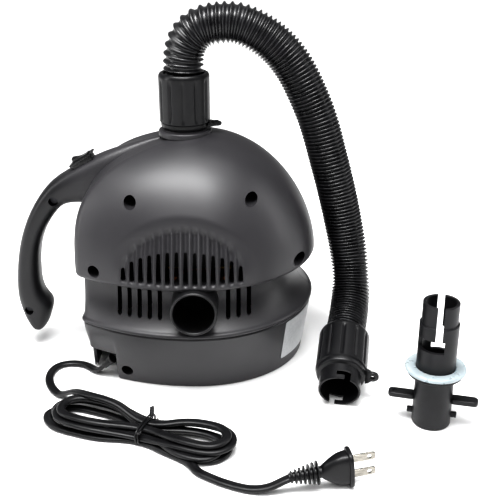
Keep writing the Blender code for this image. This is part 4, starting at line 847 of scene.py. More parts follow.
def rod_mesh(radius, start, end, sides=48):
    """A cylinder between two points."""
    start, end = Vector(start), Vector(end)
    along = end - start
    bm = bmesh.new()
    bmesh.ops.create_cone(
        bm, cap_ends=True, segments=sides, radius1=radius, radius2=radius, depth=along.length
    )
    mesh = bpy.data.meshes.new("rod")
    bm.to_mesh(mesh)
    bm.free()
    turn = along.to_track_quat("Z", "Y").to_matrix().to_4x4()
    return placed(mesh, Matrix.Translation((start + end) / 2) @ turn)


def slot_mesh(x, low, high, foot_width, top_width, y_from, y_to):
    """A cutter for an upright slot: straight sides that close in upwards to a round top."""
    turn = np.linspace(0, math.pi, 9)
    foot_r = min(0.0012, foot_width / 2)
    foot, top = foot_width / 2, top_width / 2
    outline = [(foot_r - foot, low), (foot - foot_r, low), (foot, low + foot_r)]
    outline += [(top * math.cos(a), high - top + top * math.sin(a)) for a in turn]
    outline = np.array(outline + [(-foot, low + foot_r)])
    outline[:, 0] += x
    rows = [np.insert(outline, 1, y, axis=1) for y in (y_from, y_to)]
    return grid_mesh("slot", np.stack(rows), True, True)


def evaluated_mesh(obj):
    """The mesh that an object's modifiers give."""
    ready = obj.evaluated_get(bpy.context.evaluated_depsgraph_get())
    return bpy.data.meshes.new_from_object(ready)


def carved(mesh, cutters):
    """The mesh less these cutters, which don't touch each other."""
    base = bpy.data.objects.new("carved", mesh)
    tool = bpy.data.objects.new("cutters", joined("cutters", cutters))
    for obj in (base, tool):
        bpy.context.scene.collection.objects.link(obj)
        bm = bmesh.new()
        bm.from_mesh(obj.data)
        bmesh.ops.remove_doubles(bm, verts=bm.verts, dist=1e-7)
        bmesh.ops.recalc_face_normals(bm, faces=bm.faces)
        bm.to_mesh(obj.data)
        bm.free()
    cut = base.modifiers.new("cut", "BOOLEAN")
    cut.operation = "DIFFERENCE"
    cut.solver = "MANIFOLD"
    cut.object = tool
    bpy.context.view_layer.update()
    result = evaluated_mesh(base)
    for obj in (base, tool):
        bpy.data.objects.remove(obj)
    return result


def walled(mesh, thickness):
    """An open surface given a wall on its inner side, as one closed skin."""
    sheet = bpy.data.objects.new("walled", mesh)
    bpy.context.scene.collection.objects.link(sheet)
    wall = sheet.modifiers.new("wall", "SOLIDIFY")
    wall.thickness = thickness
    wall.offset = -1.0
    bpy.context.view_layer.update()
    result = evaluated_mesh(sheet)
    bpy.data.objects.remove(sheet)
    return result


# The handle: outer and inner edge of the hook, point for point, from inside the dome to its tip.
HANDLE_OUTER = (
    (-0.0310, 0.1956), (-0.0460, 0.1919), (-0.0640, 0.1866), (-0.0840, 0.1793), (-0.1030, 0.1698),
    (-0.126, 0.1556),
    (-0.141, 0.1380), (-0.153, 0.1150), (-0.161, 0.0880), (-0.164, 0.0690), (-0.165, 0.0470),
    (-0.1642, 0.0400), (-0.162, 0.0310), (-0.1580, 0.0220), (-0.1540, 0.0170), (-0.1500, 0.0148),
)
HANDLE_INNER = (
    (-0.0360, 0.1720), (-0.0500, 0.1610), (-0.0680, 0.1480), (-0.0860, 0.1385), (-0.1010, 0.1370),
    (-0.1150, 0.1358),
    (-0.1265, 0.1252), (-0.1355, 0.1110), (-0.1425, 0.0880), (-0.1440, 0.0700), (-0.1402, 0.0480),
    (-0.1356, 0.0405), (-0.1372, 0.0300), (-0.1412, 0.0200), (-0.1450, 0.0160), (-0.1488, 0.0147),
)
HANDLE_HALF = 0.014


def edge_line(points, count):
    """Even parameter steps along the smooth line through an edge's points."""
    flat = np.insert(np.array(points), 1, 0.0, axis=1)
    knots = np.arange(len(points))
    fine = spline_route(flat, 0.0002)
    nearest = np.array([np.argmin(((fine - p) ** 2).sum(axis=1)) for p in flat])
    return fine[np.interp(np.linspace(0, knots[-1], count), knots, nearest).round().astype(int)]


def handle_half(side):
    """One half of the hook: a superellipse section between the two edges, cut flat at the seam."""
    count = 96
    outer, inner = edge_line(HANDLE_OUTER, count), edge_line(HANDLE_INNER, count)
    middle, arm = (outer + inner) / 2, (outer - inner) / 2
    turn = np.linspace(0, math.pi, 25)
    c, s = np.cos(turn), np.sin(turn)
    flatten = 0.72
    along = np.sign(c) * np.abs(c) ** flatten
    depth = np.abs(s) ** flatten
    tip = np.clip((np.arange(count) / (count - 1) - 0.86) / 0.14, 0, 1)
    root = smooth_step(np.arange(count) / (count - 1), 0.0, 0.20)
    deep = HANDLE_HALF * np.sqrt(np.maximum(1 - 0.96 * tip**3, 0.04)) * (0.42 + 0.58 * root)
    curve = middle[:, None] + along[None, :, None] * arm[:, None]
    curve[..., 1] = side * (SEAM + depth[None] * (deep[:, None] - SEAM))
    flat_turn = np.linspace(-1, 1, 13)[1:-1]
    flat = middle[:, None] + flat_turn[None, :, None] * arm[:, None]
    flat[..., 1] = side * SEAM
    return grid_mesh("handle_half", np.concatenate([curve, flat], axis=1), True, True)


# Where the switch sits on the ridge of the handle, from its own solid.
SWITCH_TILT = Matrix.Rotation(math.radians(-31.0), 4, "Y")
SWITCH_FRAME = Matrix.Translation((-0.0985, 0.0, 0.1745)) @ SWITCH_TILT
CASE_WELLS = (
    (-0.050, 0.160), (0.046, 0.160), (-0.081, 0.1045), (0.086, 0.1045), (-0.059, 0.0120),
)
GRIP_WELLS = ((-0.155, 0.036), (-0.124, 0.1405))
WELL_FLOOR_Y = -0.016
GRIP_FLOOR_Y = -0.0065
GRIP_WELL_R = 0.0040
PORT_LOW, PORT_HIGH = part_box("deflate_port")
PORT_X = (PORT_LOW.x + PORT_HIGH.x) / 2
PORT_Z = (PORT_LOW.z + PORT_HIGH.z) / 2
PORT_R = (PORT_HIGH.x - PORT_LOW.x) / 2
COLLAR_LOW, COLLAR_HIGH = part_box("outlet_collar")
NECK_X = -0.0096
NECK_R = 0.019
PLATE_LOW, PLATE_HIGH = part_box("base_plate")
PLATE_R = (PLATE_HIGH.x - PLATE_LOW.x) / 2


def shared_cutters():
    """What both halves give way to: the outlet, the base plate and its opening."""
    return [
        rod_mesh(NECK_R + 0.0003, (NECK_X, 0, TOP_Z - 0.03), (NECK_X, 0, TOP_Z + 0.02), 64),
        rod_mesh(PLATE_R - 0.004, (0, 0, -0.002), (0, 0, 0.006), 96),
    ]


def well_liner(x, z, radius, floor_y, wall=0.0016):
    """The round wall of a screw well, its rim following the front just under the surface, and
    its floor with the hole that the screw goes through."""
    turn = np.linspace(0, 2 * math.pi, 32, endpoint=False)
    ring = np.stack([np.cos(turn), np.sin(turn)], axis=1)

    def circle_at(r, y):
        """A ring of this radius about the well's axis at one depth, or at its own depths."""
        return np.stack([x + r * ring[:, 0], np.broadcast_to(y, 32), z + r * ring[:, 1]], axis=1)

    rim_y = front_y(x + radius * ring[:, 0], z + radius * ring[:, 1]) + 0.0011
    outer_y = front_y(x + (radius + wall) * ring[:, 0], z + (radius + wall) * ring[:, 1]) + 0.0016
    rows = np.stack([
        circle_at(radius + wall, outer_y), circle_at(radius, rim_y),
        circle_at(radius, floor_y - 0.0004), circle_at(radius - 0.0004, floor_y),
        circle_at(0.0018, floor_y), circle_at(0.0018, floor_y + 0.003),
        circle_at(radius + wall, floor_y + 0.003),
    ])
    return grid_mesh("well_liner", np.concatenate([rows, rows[:1]]), True)


def front_shell_mesh():
    """The front moulding's wall, with the outlet, the base plate, the port, the grille and waist slots,
    the screw wells and the notch cut out of it.
    """
    columns = np.arange(SLOT_FIRST_X - SLOT_PITCH / 2, 0.0447, SLOT_PITCH / 13)
    surface = shell_surface(OUTSIDE, columns, 66, 62)
    surface = surface - outward(surface) * front_relief(surface)[..., None]
    surface[:, [0, -1]] -= outward(surface)[:, [0, -1]] * 0.0003
    surface[..., 1] = np.minimum(surface[..., 1], -SEAM)
    wall = walled(oriented(grid_mesh("front", surface)), WALL)
    cutters = shared_cutters()
    cutters.append(rod_mesh(PORT_R + 0.0003, (PORT_X, -0.13, PORT_Z), (PORT_X, -0.066, PORT_Z), 96))
    for i in range(SLOT_COUNT):
        x = SLOT_FIRST_X + i * SLOT_PITCH
        tall = float(arch_height(x)) - ARCH_FOOT_Z
        top = ARCH_FOOT_Z + 0.0002 + max(0.006, 0.56 * tall)
        cutters.append(slot_mesh(x, ARCH_FOOT_Z, top, SLOT_WIDTH, 0.0028, -0.115, -0.055))
    for start, count in WAIST_SLOTS:
        for i in range(count):
            x = start + i * WAIST_SLOT_PITCH
            cutters.append(slot_mesh(x, 0.0652, 0.0918, 0.0036, 0.0034, -0.0965, -0.045))
    for x, z in CASE_WELLS:
        cutters.append(rod_mesh(WELL_R, (x, -0.13, z), (x, float(front_y(x, z)) + 0.016, z), 40))
    notch = (0.05, 0.05, 0.029)
    cutters.append(box_mesh(notch, (CREASE_X - 0.025, -0.050 - 0.025, 0.0125)))
    return carved(wall, cutters)


def oriented(mesh):
    """The mesh with its normals facing away from the housing's middle."""
    middle = np.array([0.0, 0.0, 0.09])
    normals = np.zeros(len(mesh.polygons) * 3, np.float32)
    centres = np.zeros(len(mesh.polygons) * 3, np.float32)
    mesh.polygons.foreach_get("normal", normals)
    mesh.polygons.foreach_get("center", centres)
    away = (normals.reshape(-1, 3) * (centres.reshape(-1, 3) - middle)).sum(axis=1)
    if np.median(away) < 0:
        mesh.flip_normals()
    return mesh


SWITCH_ROOM = (0.0198, 0.0138, 0.028)
handle_cutters = [placed(box_mesh(SWITCH_ROOM, (0, 0, 0)), SWITCH_FRAME)]
handle_cutters += [
    rod_mesh(GRIP_WELL_R, (x, -0.03, z), (x, GRIP_FLOOR_Y, z), 32) for x, z in GRIP_WELLS
]
front = joined("front_shell_skin", [
    front_shell_mesh(), carved(handle_half(-1.0), handle_cutters),
    *[well_liner(x, z, WELL_R, WELL_FLOOR_Y) for x, z in CASE_WELLS],
])
front_shell = piece("front_shell_skin", front, "housing", charcoal, smooth=38)
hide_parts("front_shell")

rear_surface = shell_surface(OUTSIDE, np.linspace(-0.058, 0.044, 40), 44, 42)
rear_surface[:, [0, -1]] -= outward(rear_surface)[:, [0, -1]] * 0.0003
rear_surface[..., 1] = np.maximum(-rear_surface[..., 1], SEAM)
rear_wall = walled(oriented(grid_mesh("rear", rear_surface)), WALL)
rear_room = placed(box_mesh(SWITCH_ROOM, (0, 0, 0)), SWITCH_FRAME)
rear = joined("rear_shell_skin", [
    carved(rear_wall, shared_cutters()), carved(handle_half(1.0), [rear_room]),
])
rear_shell = piece("rear_shell_skin", rear, "housing", charcoal, smooth=38)
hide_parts("rear_shell")

# ---- Hose cuffs ----------------------------------------------------------------------------
# Two alike, turned from satin black ABS: broad lands between shallow flutes for the grip, a
# plain foot with an eye for a lanyard, and a bayonet ring with two slots shaped like an L.
CUFF_R = 0.02125
CUFF_LENGTH = 0.0460
CUFF_SOCKET = 0.036
BAYONET_R = 0.0170
BAYONET_BORE_R = 0.0153
BAYONET_LENGTH = 0.0155
BAYONET_PIN_R = 0.0018
BAYONET_PIN_DOWN = 0.0095
TWIST = math.radians(22.0)
FLUTE_COUNT = 12
FLUTE_DEPTH = 0.0011
EYE_R = 0.0052
EYE_HOLE_R = 0.0021
EYE_LIFT = 0.0016
EYE_THICK = 0.0026


def ring_grid(profile, sides):
    """Rings round the Z axis from pairs of radius and height; the last joins the first."""
    profile = np.array(profile + profile[:1])
    turn = np.linspace(0, 2 * math.pi, sides, endpoint=False)
    return np.stack(np.broadcast_arrays(
        profile[:, :1] * np.cos(turn), profile[:, :1] * np.sin(turn), profile[:, 1:]
    ), axis=-1), turn


def lathe_mesh(profile, sides=72):
    """A ring-shaped solid: its closed section turned once round the Z axis."""
    points, _ = ring_grid(list(profile), sides)
    return grid_mesh("lathe", points, True)


def rounded_slab(outline, low, high, edge):
    """A flat solid with this convex outline, its upper and lower edges rounded."""
    outline = np.array(outline)
    middle = outline.mean(axis=0)
    reach = np.linalg.norm(outline - middle, axis=1, keepdims=True)
    rows = []
    for z, inset in (
        (low, edge), (low + 0.3 * edge, 0.3 * edge), (low + edge, 0.0),
        (high - edge, 0.0), (high - 0.3 * edge, 0.3 * edge), (high, edge),
    ):
        drawn = middle + (outline - middle) * (1 - inset / reach)
        rows.append(np.insert(drawn, 2, z, axis=1))
    return grid_mesh("slab", np.stack(rows), True, True)


def cuff_mesh(ear_turn):
    """A cuff with its shoulder at the origin and the hose side up, its eye at this angle."""
    rest = CUFF_LENGTH - CUFF_SOCKET
    socket_r = HOSE_D / 2 + 0.0003
    profile = [
        (socket_r, CUFF_LENGTH - 0.0008), (socket_r + 0.0006, CUFF_LENGTH - 0.0001),
        (CUFF_R - 0.0022, CUFF_LENGTH), (CUFF_R - 0.0012, CUFF_LENGTH - 0.0005),
        (CUFF_R - 0.0004, CUFF_LENGTH - 0.0016), (CUFF_R, CUFF_LENGTH - 0.0030),
    ]
    profile += [(CUFF_R, z) for z in np.linspace(CUFF_LENGTH - 0.0040, 0.0064, 26)]
    profile += [
        (CUFF_R, 0.0058), (CUFF_R - 0.0007, 0.0050), (CUFF_R - 0.0010, 0.0046),
        (CUFF_R - 0.0010, 0.0022), (CUFF_R - 0.0014, 0.0009), (CUFF_R - 0.0024, 0.0001),
        (BAYONET_R + 0.0006, 0.0), (BAYONET_R, -0.0004), (BAYONET_R, -BAYONET_LENGTH + 0.0005),
        (BAYONET_R - 0.0004, -BAYONET_LENGTH), (BAYONET_BORE_R + 0.0003, -BAYONET_LENGTH),
        (BAYONET_BORE_R, -BAYONET_LENGTH + 0.0004), (BAYONET_BORE_R, rest - 0.0003),
        (BAYONET_BORE_R + 0.0003, rest), (socket_r - 0.0002, rest), (socket_r, rest + 0.0002),
    ]
    points, turn = ring_grid(profile, 288)
    z = points[..., 2]
    outside = np.hypot(points[..., 0], points[..., 1]) > BAYONET_R + 0.0020
    wave = (0.5 + 0.5 * np.cos(FLUTE_COUNT * turn[None])) ** 9
    sink = FLUTE_DEPTH * wave * smooth_step(z, 0.0064, 0.0090) * (1 - smooth_step(z, 0.038, 0.0425))
    points[..., :2] *= 1 - (sink * outside)[..., None] / CUFF_R
    cutters = []
    slot = 2 * BAYONET_PIN_R + 0.0014
    for i in (0, 1):
        turned = Matrix.Rotation(math.pi * i - math.pi / 2, 4, "Z")
        arc = BAYONET_R * TWIST
        leg = box_mesh((0.008, arc + slot, slot), (BAYONET_R, 0, -BAYONET_PIN_DOWN))
        cutters.append(placed(leg, turned @ Matrix.Rotation(TWIST / 2, 4, "Z")))
        foot_z = slot / 2 - BAYONET_PIN_DOWN - 0.0066
        foot = box_mesh((0.0082, slot, 0.0130), (BAYONET_R, 0, foot_z))
        cutters.append(placed(foot, turned @ Matrix.Rotation(TWIST, 4, "Z")))
    skin = grid_mesh("cuff", points, True)
    for leg, foot in ((cutters[0], cutters[1]), (cutters[2], cutters[3])):
        skin = carved(carved(skin, [leg]), [foot])
    middle = CUFF_R + EYE_R - 0.0008
    bend = np.radians(np.linspace(-100, 100, 17))
    lug = [(CUFF_R - 0.0016, -0.0084), (CUFF_R + 0.0006, -0.0078)]
    lug += [(middle + EYE_R * math.cos(a), EYE_R * math.sin(a)) for a in bend]
    lug += [(CUFF_R + 0.0006, 0.0078), (CUFF_R - 0.0016, 0.0084)]
    hole = rod_mesh(EYE_HOLE_R, (middle, 0, -0.01), (middle, 0, 0.01), 32)
    eye = carved(rounded_slab(lug, EYE_LIFT, EYE_LIFT + EYE_THICK, 0.0006), [hole])
    top = EYE_LIFT + EYE_THICK
    rim = [
        (EYE_HOLE_R + 0.0001, top - 0.0006), (EYE_HOLE_R + 0.0003, top + 0.0005),
        (EYE_HOLE_R + 0.0009, top + 0.0008), (EYE_HOLE_R + 0.0016, top + 0.0005),
        (EYE_HOLE_R + 0.0018, top - 0.0006),
    ]
    ring = placed(lathe_mesh(rim, 32), Matrix.Translation((middle, 0, 0)))
    ears = [placed(part, Matrix.Rotation(ear_turn, 4, "Z")) for part in (eye, ring)]
    return joined("cuff", [skin, *ears])


cuff_black, cuff_shader, cuff_tree = finish("satin_black_abs", (0.009, 0.009, 0.010), 0.36, ior=1.42)
cuff_cloud = pattern(cuff_tree, "ShaderNodeTexNoise", 60.0, Detail=4.0)
tint(cuff_tree, cuff_shader, cuff_cloud.outputs["Fac"], (0.008, 0.008, 0.009), (0.012, 0.012, 0.013))
drag = pattern(cuff_tree, "ShaderNodeTexNoise", 900.0, stretch=(1.0, 1.0, 0.06), Detail=3.0)
dull(cuff_tree, cuff_shader, drag.outputs["Fac"], 0.28, 0.40)
relief(cuff_tree, cuff_shader, drag.outputs["Fac"], 0.00003, 0.5)

CUFF_SHOULDER_Z = COLLAR_HIGH.z + 0.0003
FREE_CUFF_HEADING = (-0.0095, -0.0585, 0.0)
FREE_CUFF_DIP = math.radians(18.28)
CUFF_GAP = 0.0003
pump_cuff_place = Matrix.Translation((NECK_X, 0.0, CUFF_SHOULDER_Z))
pump_cuff = piece(
    "pump_cuff_skin", placed(cuff_mesh(0.0), pump_cuff_place), "hose_cuff", cuff_black, smooth=35
)
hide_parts("pump_cuff")

hose_end = Vector(HOSE_ROUTE[-1])
outward_way = Vector(FREE_CUFF_HEADING).normalized()
free_axis = outward_way * math.cos(FREE_CUFF_DIP) - Vector((0, 0, math.sin(FREE_CUFF_DIP)))
back_way = -free_axis
side_way = Vector((0, 0, 1)).cross(outward_way).normalized()
free_turn = Matrix((side_way, back_way.cross(side_way), back_way)).transposed().to_4x4()
free_place = Matrix.Translation(hose_end + free_axis * (CUFF_LENGTH + CUFF_GAP)) @ free_turn
free_cuff = piece(
    "free_cuff_skin", placed(cuff_mesh(0.0), free_place), "housing", cuff_black, smooth=35
)
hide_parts("free_cuff")

# ---- Outlet collar -------------------------------------------------------------------------
# The charcoal ABS neck that comes up from the fan case: a rounded lip that rests on the dome,
# and two pins inside the mouth that the cuff's slots turn on to.
NECK_BORE_R = 0.0173
collar_low = COLLAR_LOW.z
collar_top = COLLAR_HIGH.z
neck_profile = [
    (NECK_R - 0.0004, collar_top), (NECK_R, collar_top - 0.0004), (NECK_R, collar_top - 0.0010),
    (NECK_R + 0.0008, collar_top - 0.0012), (NECK_R + 0.0022, collar_top - 0.0013),
    (NECK_R + 0.0031, collar_top - 0.0017), (NECK_R + 0.0035, collar_top - 0.0025),
    (NECK_R + 0.0033, collar_top - 0.0060), (NECK_R + 0.0002, collar_top - 0.0075),
    (NECK_R - 0.0001, collar_top - 0.0090), (NECK_R - 0.0001, collar_low + 0.0034),
    (NECK_R + 0.0004, collar_low + 0.0030), (NECK_R + 0.0060, collar_low + 0.0030),
    (NECK_R + 0.0060, collar_low), (NECK_BORE_R, collar_low), (NECK_BORE_R, collar_top - 0.0004),
    (NECK_BORE_R + 0.0004, collar_top),
]
neck = placed(lathe_mesh(neck_profile, 120), Matrix.Translation((NECK_X, 0, 0)))
neck_pins = [
    rod_mesh(
        BAYONET_PIN_R, (NECK_X, side * (NECK_BORE_R + 0.0006), collar_top - BAYONET_PIN_DOWN),
        (NECK_X, side * (BAYONET_BORE_R + 0.0002), collar_top - BAYONET_PIN_DOWN), 24,
    )
    for side in (-1, 1)
]
collar = piece(
    "outlet_collar_skin", joined("outlet_collar_skin", [neck, *neck_pins]), "housing",
    charcoal, smooth=40,
)
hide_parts("outlet_collar")

# ---- Suction port --------------------------------------------------------------------------
# Black ABS tube through the waist with a thick rolled edge. Pressed in from inside, and open
# to the space below the fan.
port_front, port_back = PORT_LOW.y, PORT_HIGH.y
port_long = port_back - port_front
port_profile = [(PORT_R, port_long)] + [(PORT_R, 0.0040), (PORT_R - 0.0001, 0.0030)]
port_profile += [
    (PORT_R + 0.0001, 0.0024), (PORT_R, 0.0012), (PORT_R - 0.0004, 0.0004),
    (PORT_R - 0.0011, 0.0), (PORT_R - 0.0018, 0.0003), (PORT_R - 0.0023, 0.0011),
    (PORT_R - 0.0024, 0.0022), (NECK_BORE_R - 0.0006, 0.0040), (NECK_BORE_R - 0.0001, 0.0060),
    (NECK_BORE_R - 0.0001, port_long),
]
port_place = Matrix.Translation((PORT_X, port_front, PORT_Z)) @ Matrix.Rotation(-math.pi / 2, 4, "X")
port_black, port_shader, port_tree = finish("port_black_abs", (0.010, 0.010, 0.011), 0.42)
port_grain = pattern(port_tree, "ShaderNodeTexNoise", 1200.0, Detail=3.0)
tint(port_tree, port_shader, port_grain.outputs["Fac"], (0.008, 0.008, 0.009), (0.013, 0.013, 0.014))
relief(port_tree, port_shader, port_grain.outputs["Fac"], 0.00003, 0.5)
port = piece(
    "deflate_port_skin", placed(lathe_mesh(port_profile, 120), port_place), "housing",
    port_black, smooth=40,
)
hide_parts("deflate_port")

# ---- Rocker switch -------------------------------------------------------------------------
# A snap-in power switch on the ridge above the grip: a black nylon case with a raised frame,
# and a dished rocker with finger ribs at its far end. It tips eighteen degrees.
SWITCH_LONG = 0.0190
SWITCH_WIDE = 0.0130
SWITCH_DEEP = 0.0100
FRAME_EDGE = 0.0012
FRAME_OUT = 0.0018
FRAME_TALL = 0.0018
SWITCH_LIFT = 0.0004


def block_outline(length, width, corner):
    """A rectangle about the origin with rounded corners."""
    turn = np.radians(np.linspace(0, 90, 6))
    points = []
    for quarter, (sx, sy) in enumerate(((1, 1), (-1, 1), (-1, -1), (1, -1))):
        for a in turn + quarter * math.pi / 2:
            points.append((
                sx * (length / 2 - corner) + corner * math.cos(a),
                sy * (width / 2 - corner) + corner * math.sin(a),
            ))
    return points


frame_long = SWITCH_LONG + 2 * FRAME_OUT
frame_wide = SWITCH_WIDE + 2 * FRAME_OUT
well = box_mesh((SWITCH_LONG - 2 * FRAME_EDGE, SWITCH_WIDE - 2 * FRAME_EDGE, 0.030), (0, 0, 0.0075))
rim_outline = block_outline(frame_long, frame_wide, 0.0012)
rim_slab = rounded_slab(rim_outline, SWITCH_LIFT, SWITCH_LIFT + FRAME_TALL, 0.0005)
case_outline = block_outline(SWITCH_LONG, SWITCH_WIDE, 0.0008)
case_slab = rounded_slab(case_outline, SWITCH_LIFT - SWITCH_DEEP, SWITCH_LIFT + 0.0002, 0.0002)
switch_rim = carved(rim_slab, [well.copy()])
switch_case = carved(case_slab, [well.copy()])
nylon, nylon_shader, nylon_tree = finish("switch_nylon", (0.012, 0.012, 0.013), 0.26)
nylon_grain = pattern(nylon_tree, "ShaderNodeTexNoise", 700.0, Detail=3.0)
dull(nylon_tree, nylon_shader, nylon_grain.outputs["Fac"], 0.20, 0.34)
relief(nylon_tree, nylon_shader, nylon_grain.outputs["Fac"], 0.00002, 0.5)
switch = piece(
    "switch_case_skin", placed(joined("switch_case_skin", [switch_rim, switch_case]), SWITCH_FRAME),
    "housing", nylon, smooth=35,
)
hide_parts("switch_body")

rocker_reach = SWITCH_LONG / 2 - FRAME_EDGE - 0.0006
dish = np.linspace(1, -1, 15)
rocker_outline = [(-rocker_reach, 0.0012), (-0.0030, -0.0042)]
rocker_outline += [(0.0030, -0.0042), (rocker_reach, 0.0012)]
rocker_outline += [(rocker_reach * t, 0.0026 + 0.0014 * abs(t) ** 1.6) for t in dish]
rocker_rows = []
rocker_half = SWITCH_WIDE / 2 - FRAME_EDGE - 0.0006
for y, keep in (
    (-rocker_half, 0.95), (-rocker_half + 0.0004, 0.99), (-rocker_half + 0.0010, 1.0),
    (rocker_half - 0.0010, 1.0), (rocker_half - 0.0004, 0.99), (rocker_half, 0.95),
):
    rocker_rows.append([(x * keep, y, z * keep) for x, z in rocker_outline])
rocker_block = grid_mesh("rocker", np.array(rocker_rows), True, True)
rib_size = (0.0006, 2 * rocker_half - 0.003, 0.0008)
rocker_ribs = [
    box_mesh(rib_size, (0.0016 + 0.0014 * i - rocker_reach, 0, 0.0037 - 0.0003 * i))
    for i in range(3)
]
rocker_tip = Matrix.Rotation(math.radians(9.0), 4, "Y")
rocker_place = SWITCH_FRAME @ Matrix.Translation((0, 0, 0.0006)) @ rocker_tip
rocker_mesh = placed(joined("switch_rocker_skin", [rocker_block, *rocker_ribs]), rocker_place)
rocker = piece("switch_rocker_skin", rocker_mesh, "rocker", nylon, smooth=30)
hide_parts("switch_rocker")

# ---- Rating label --------------------------------------------------------------------------
# A blank sticker of light grey coated paper on the right of the base, pressed to its curve.
label_turn = np.radians(np.linspace(49.5, 80.5, 48))
label_up = np.linspace(0.0115, 0.0510, 34)
a, z = np.meshgrid(label_turn, label_up)
corner = 0.0016
arc_from = (a - label_turn[0]) * 0.095
arc_to = (label_turn[-1] - a) * 0.095
low_in = np.clip(corner - np.minimum(arc_from, arc_to), 0, None)
round_in = corner - np.sqrt(np.maximum(corner**2 - low_in**2, 0))
z = np.clip(z, label_up[0] + round_in, label_up[-1] - round_in)
share = z / BASE_TOP_Z
label_grid = np.stack([
    (0.092 + 0.0075 * share + 0.0002) * np.sin(a), -(0.084 + 0.0155 * share + 0.0002) * np.cos(a), z
], axis=-1)
label_skin = walled(oriented(grid_mesh("label", label_grid + outward(label_grid) * 0.0003)), 0.00028)
label_paper, label_shader, label_tree = finish("label_paper", (0.50, 0.51, 0.52), 0.42)
fibre = pattern(label_tree, "ShaderNodeTexNoise", 420.0, Detail=6.0)
tint(label_tree, label_shader, fibre.outputs["Fac"], (0.46, 0.47, 0.48), (0.55, 0.56, 0.57))
relief(label_tree, label_shader, fibre.outputs["Fac"], 0.00002, 0.4)
label = piece("rating_label_skin", label_skin, "housing", label_paper, smooth=40)
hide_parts("rating_label")

# ---- Base plate ----------------------------------------------------------------------------
# Black ABS disc that closes the motor's opening underneath, with moulded rings and three
# sunk screws. Guessed: the photo doesn't show the underside.
plate_rings = [
    (0.0002, PLATE_HIGH.z), (PLATE_R - 0.0056, PLATE_HIGH.z),
    (PLATE_R - 0.0052, PLATE_HIGH.z - 0.0004),
    (PLATE_R - 0.0052, 0.0009), (PLATE_R - 0.0003, 0.0009), (PLATE_R, 0.0006), (PLATE_R, 0.0003),
    (PLATE_R - 0.0004, 0.0),
]
for r in (0.057, 0.0425, 0.034, 0.0255, 0.017):
    plate_rings += [(r, 0.0), (r - 0.0003, 0.0005), (r - 0.0009, 0.0005), (r - 0.0012, 0.0)]
plate_rings += [(0.0002, 0.0)]
plate_holes = []
for i in range(3):
    turned = math.radians(90 + 120 * i)
    x, y = 0.050 * math.cos(turned), 0.050 * math.sin(turned)
    plate_holes.append(lathe_mesh((
        (0.0001, 0.0040), (0.0020, 0.0040), (0.0020, 0.0014),
        (0.0036, 0.0014), (0.0038, -0.0010), (0.0001, -0.0010),
    ), 32))
    placed(plate_holes[-1], Matrix.Translation((x, y, 0)))
plate_skin = carved(lathe_mesh(plate_rings, 96), plate_holes)
plate = piece("base_plate_skin", plate_skin, "housing", port_black, smooth=35)
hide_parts("base_plate")

# ---- Valve adapter -------------------------------------------------------------------------
# Black ABS tube that stands on its own: its prongs have two slots shaped like an L, a flange
# carries a soft washer, and two wings and two pins turn it in a valve.
WASHER_LOW, WASHER_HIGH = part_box("adapter_washer")
ADAPTER_X = (WASHER_LOW.x + WASHER_HIGH.x) / 2
ADAPTER_Y = (WASHER_LOW.y + WASHER_HIGH.y) / 2
ADAPTER_TOP_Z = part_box("adapter_body")[1].z
ADAPTER_R = 0.0150
ADAPTER_BORE_R = 0.0127
PRONG_R = 0.01375
PRONG_FOOT_Z = 0.0880
FLANGE_R = 0.0215
FLANGE_LOW_Z = 0.0440
FLANGE_HIGH_Z = 0.0467
WING_Z = 0.0220
WING_SPAN = 0.0345
WING_THICK = 0.0040
WING_WIDE = 0.0095
PIN_Z = 0.0085
ADAPTER_TURN = math.radians(-13.9)
LEG_HEIGHTS = ((0.0679, 0.0778), (0.0585, 0.0790))

adapter_profile = [
    (PRONG_R - 0.0003, ADAPTER_TOP_Z), (PRONG_R, ADAPTER_TOP_Z - 0.0004),
    (PRONG_R, PRONG_FOOT_Z + 0.0003), (PRONG_R + 0.0003, PRONG_FOOT_Z),
    (ADAPTER_R - 0.0003, PRONG_FOOT_Z), (ADAPTER_R, PRONG_FOOT_Z - 0.0004),
    (ADAPTER_R, FLANGE_HIGH_Z + 0.0003), (ADAPTER_R + 0.0003, FLANGE_HIGH_Z),
    (FLANGE_R - 0.0005, FLANGE_HIGH_Z), (FLANGE_R, FLANGE_HIGH_Z - 0.0006),
    (FLANGE_R, FLANGE_LOW_Z + 0.0008), (FLANGE_R - 0.0008, FLANGE_LOW_Z),
    (ADAPTER_R + 0.0018, FLANGE_LOW_Z - 0.0003), (ADAPTER_R + 0.0005, FLANGE_LOW_Z - 0.0012),
    (ADAPTER_R, FLANGE_LOW_Z - 0.0030), (ADAPTER_R - 0.0001, 0.0360), (ADAPTER_R, 0.0200),
    (ADAPTER_R, 0.0014), (ADAPTER_R - 0.0005, 0.0005), (ADAPTER_R - 0.0014, 0.0),
    (ADAPTER_BORE_R + 0.0005, 0.0), (ADAPTER_BORE_R, 0.0006), (0.01215, 0.0600),
    (0.0113, ADAPTER_TOP_Z - 0.0004), (0.0116, ADAPTER_TOP_Z),
]
adapter_tube = lathe_mesh(adapter_profile, 128)
for i in (0, 1):
    turned = Matrix.Rotation(math.pi * i, 4, "Z")
    upright = placed(box_mesh((0.0052, 0.0140, 0.0420), (0.0006, -ADAPTER_R, 0.0900)), turned)
    low, high = LEG_HEIGHTS[i]
    leg = box_mesh((0.0208, 0.0200, high - low), (-0.0052, -0.0120, (low + high) / 2))
    leg = placed(leg, turned)
    adapter_tube = carved(carved(adapter_tube, [upright]), [leg])
wing_eye = rod_mesh(0.0022, (-WING_SPAN + 0.005, 0, 0.01), (-WING_SPAN + 0.005, 0, 0.03), 32)
adapter_parts = [adapter_tube]
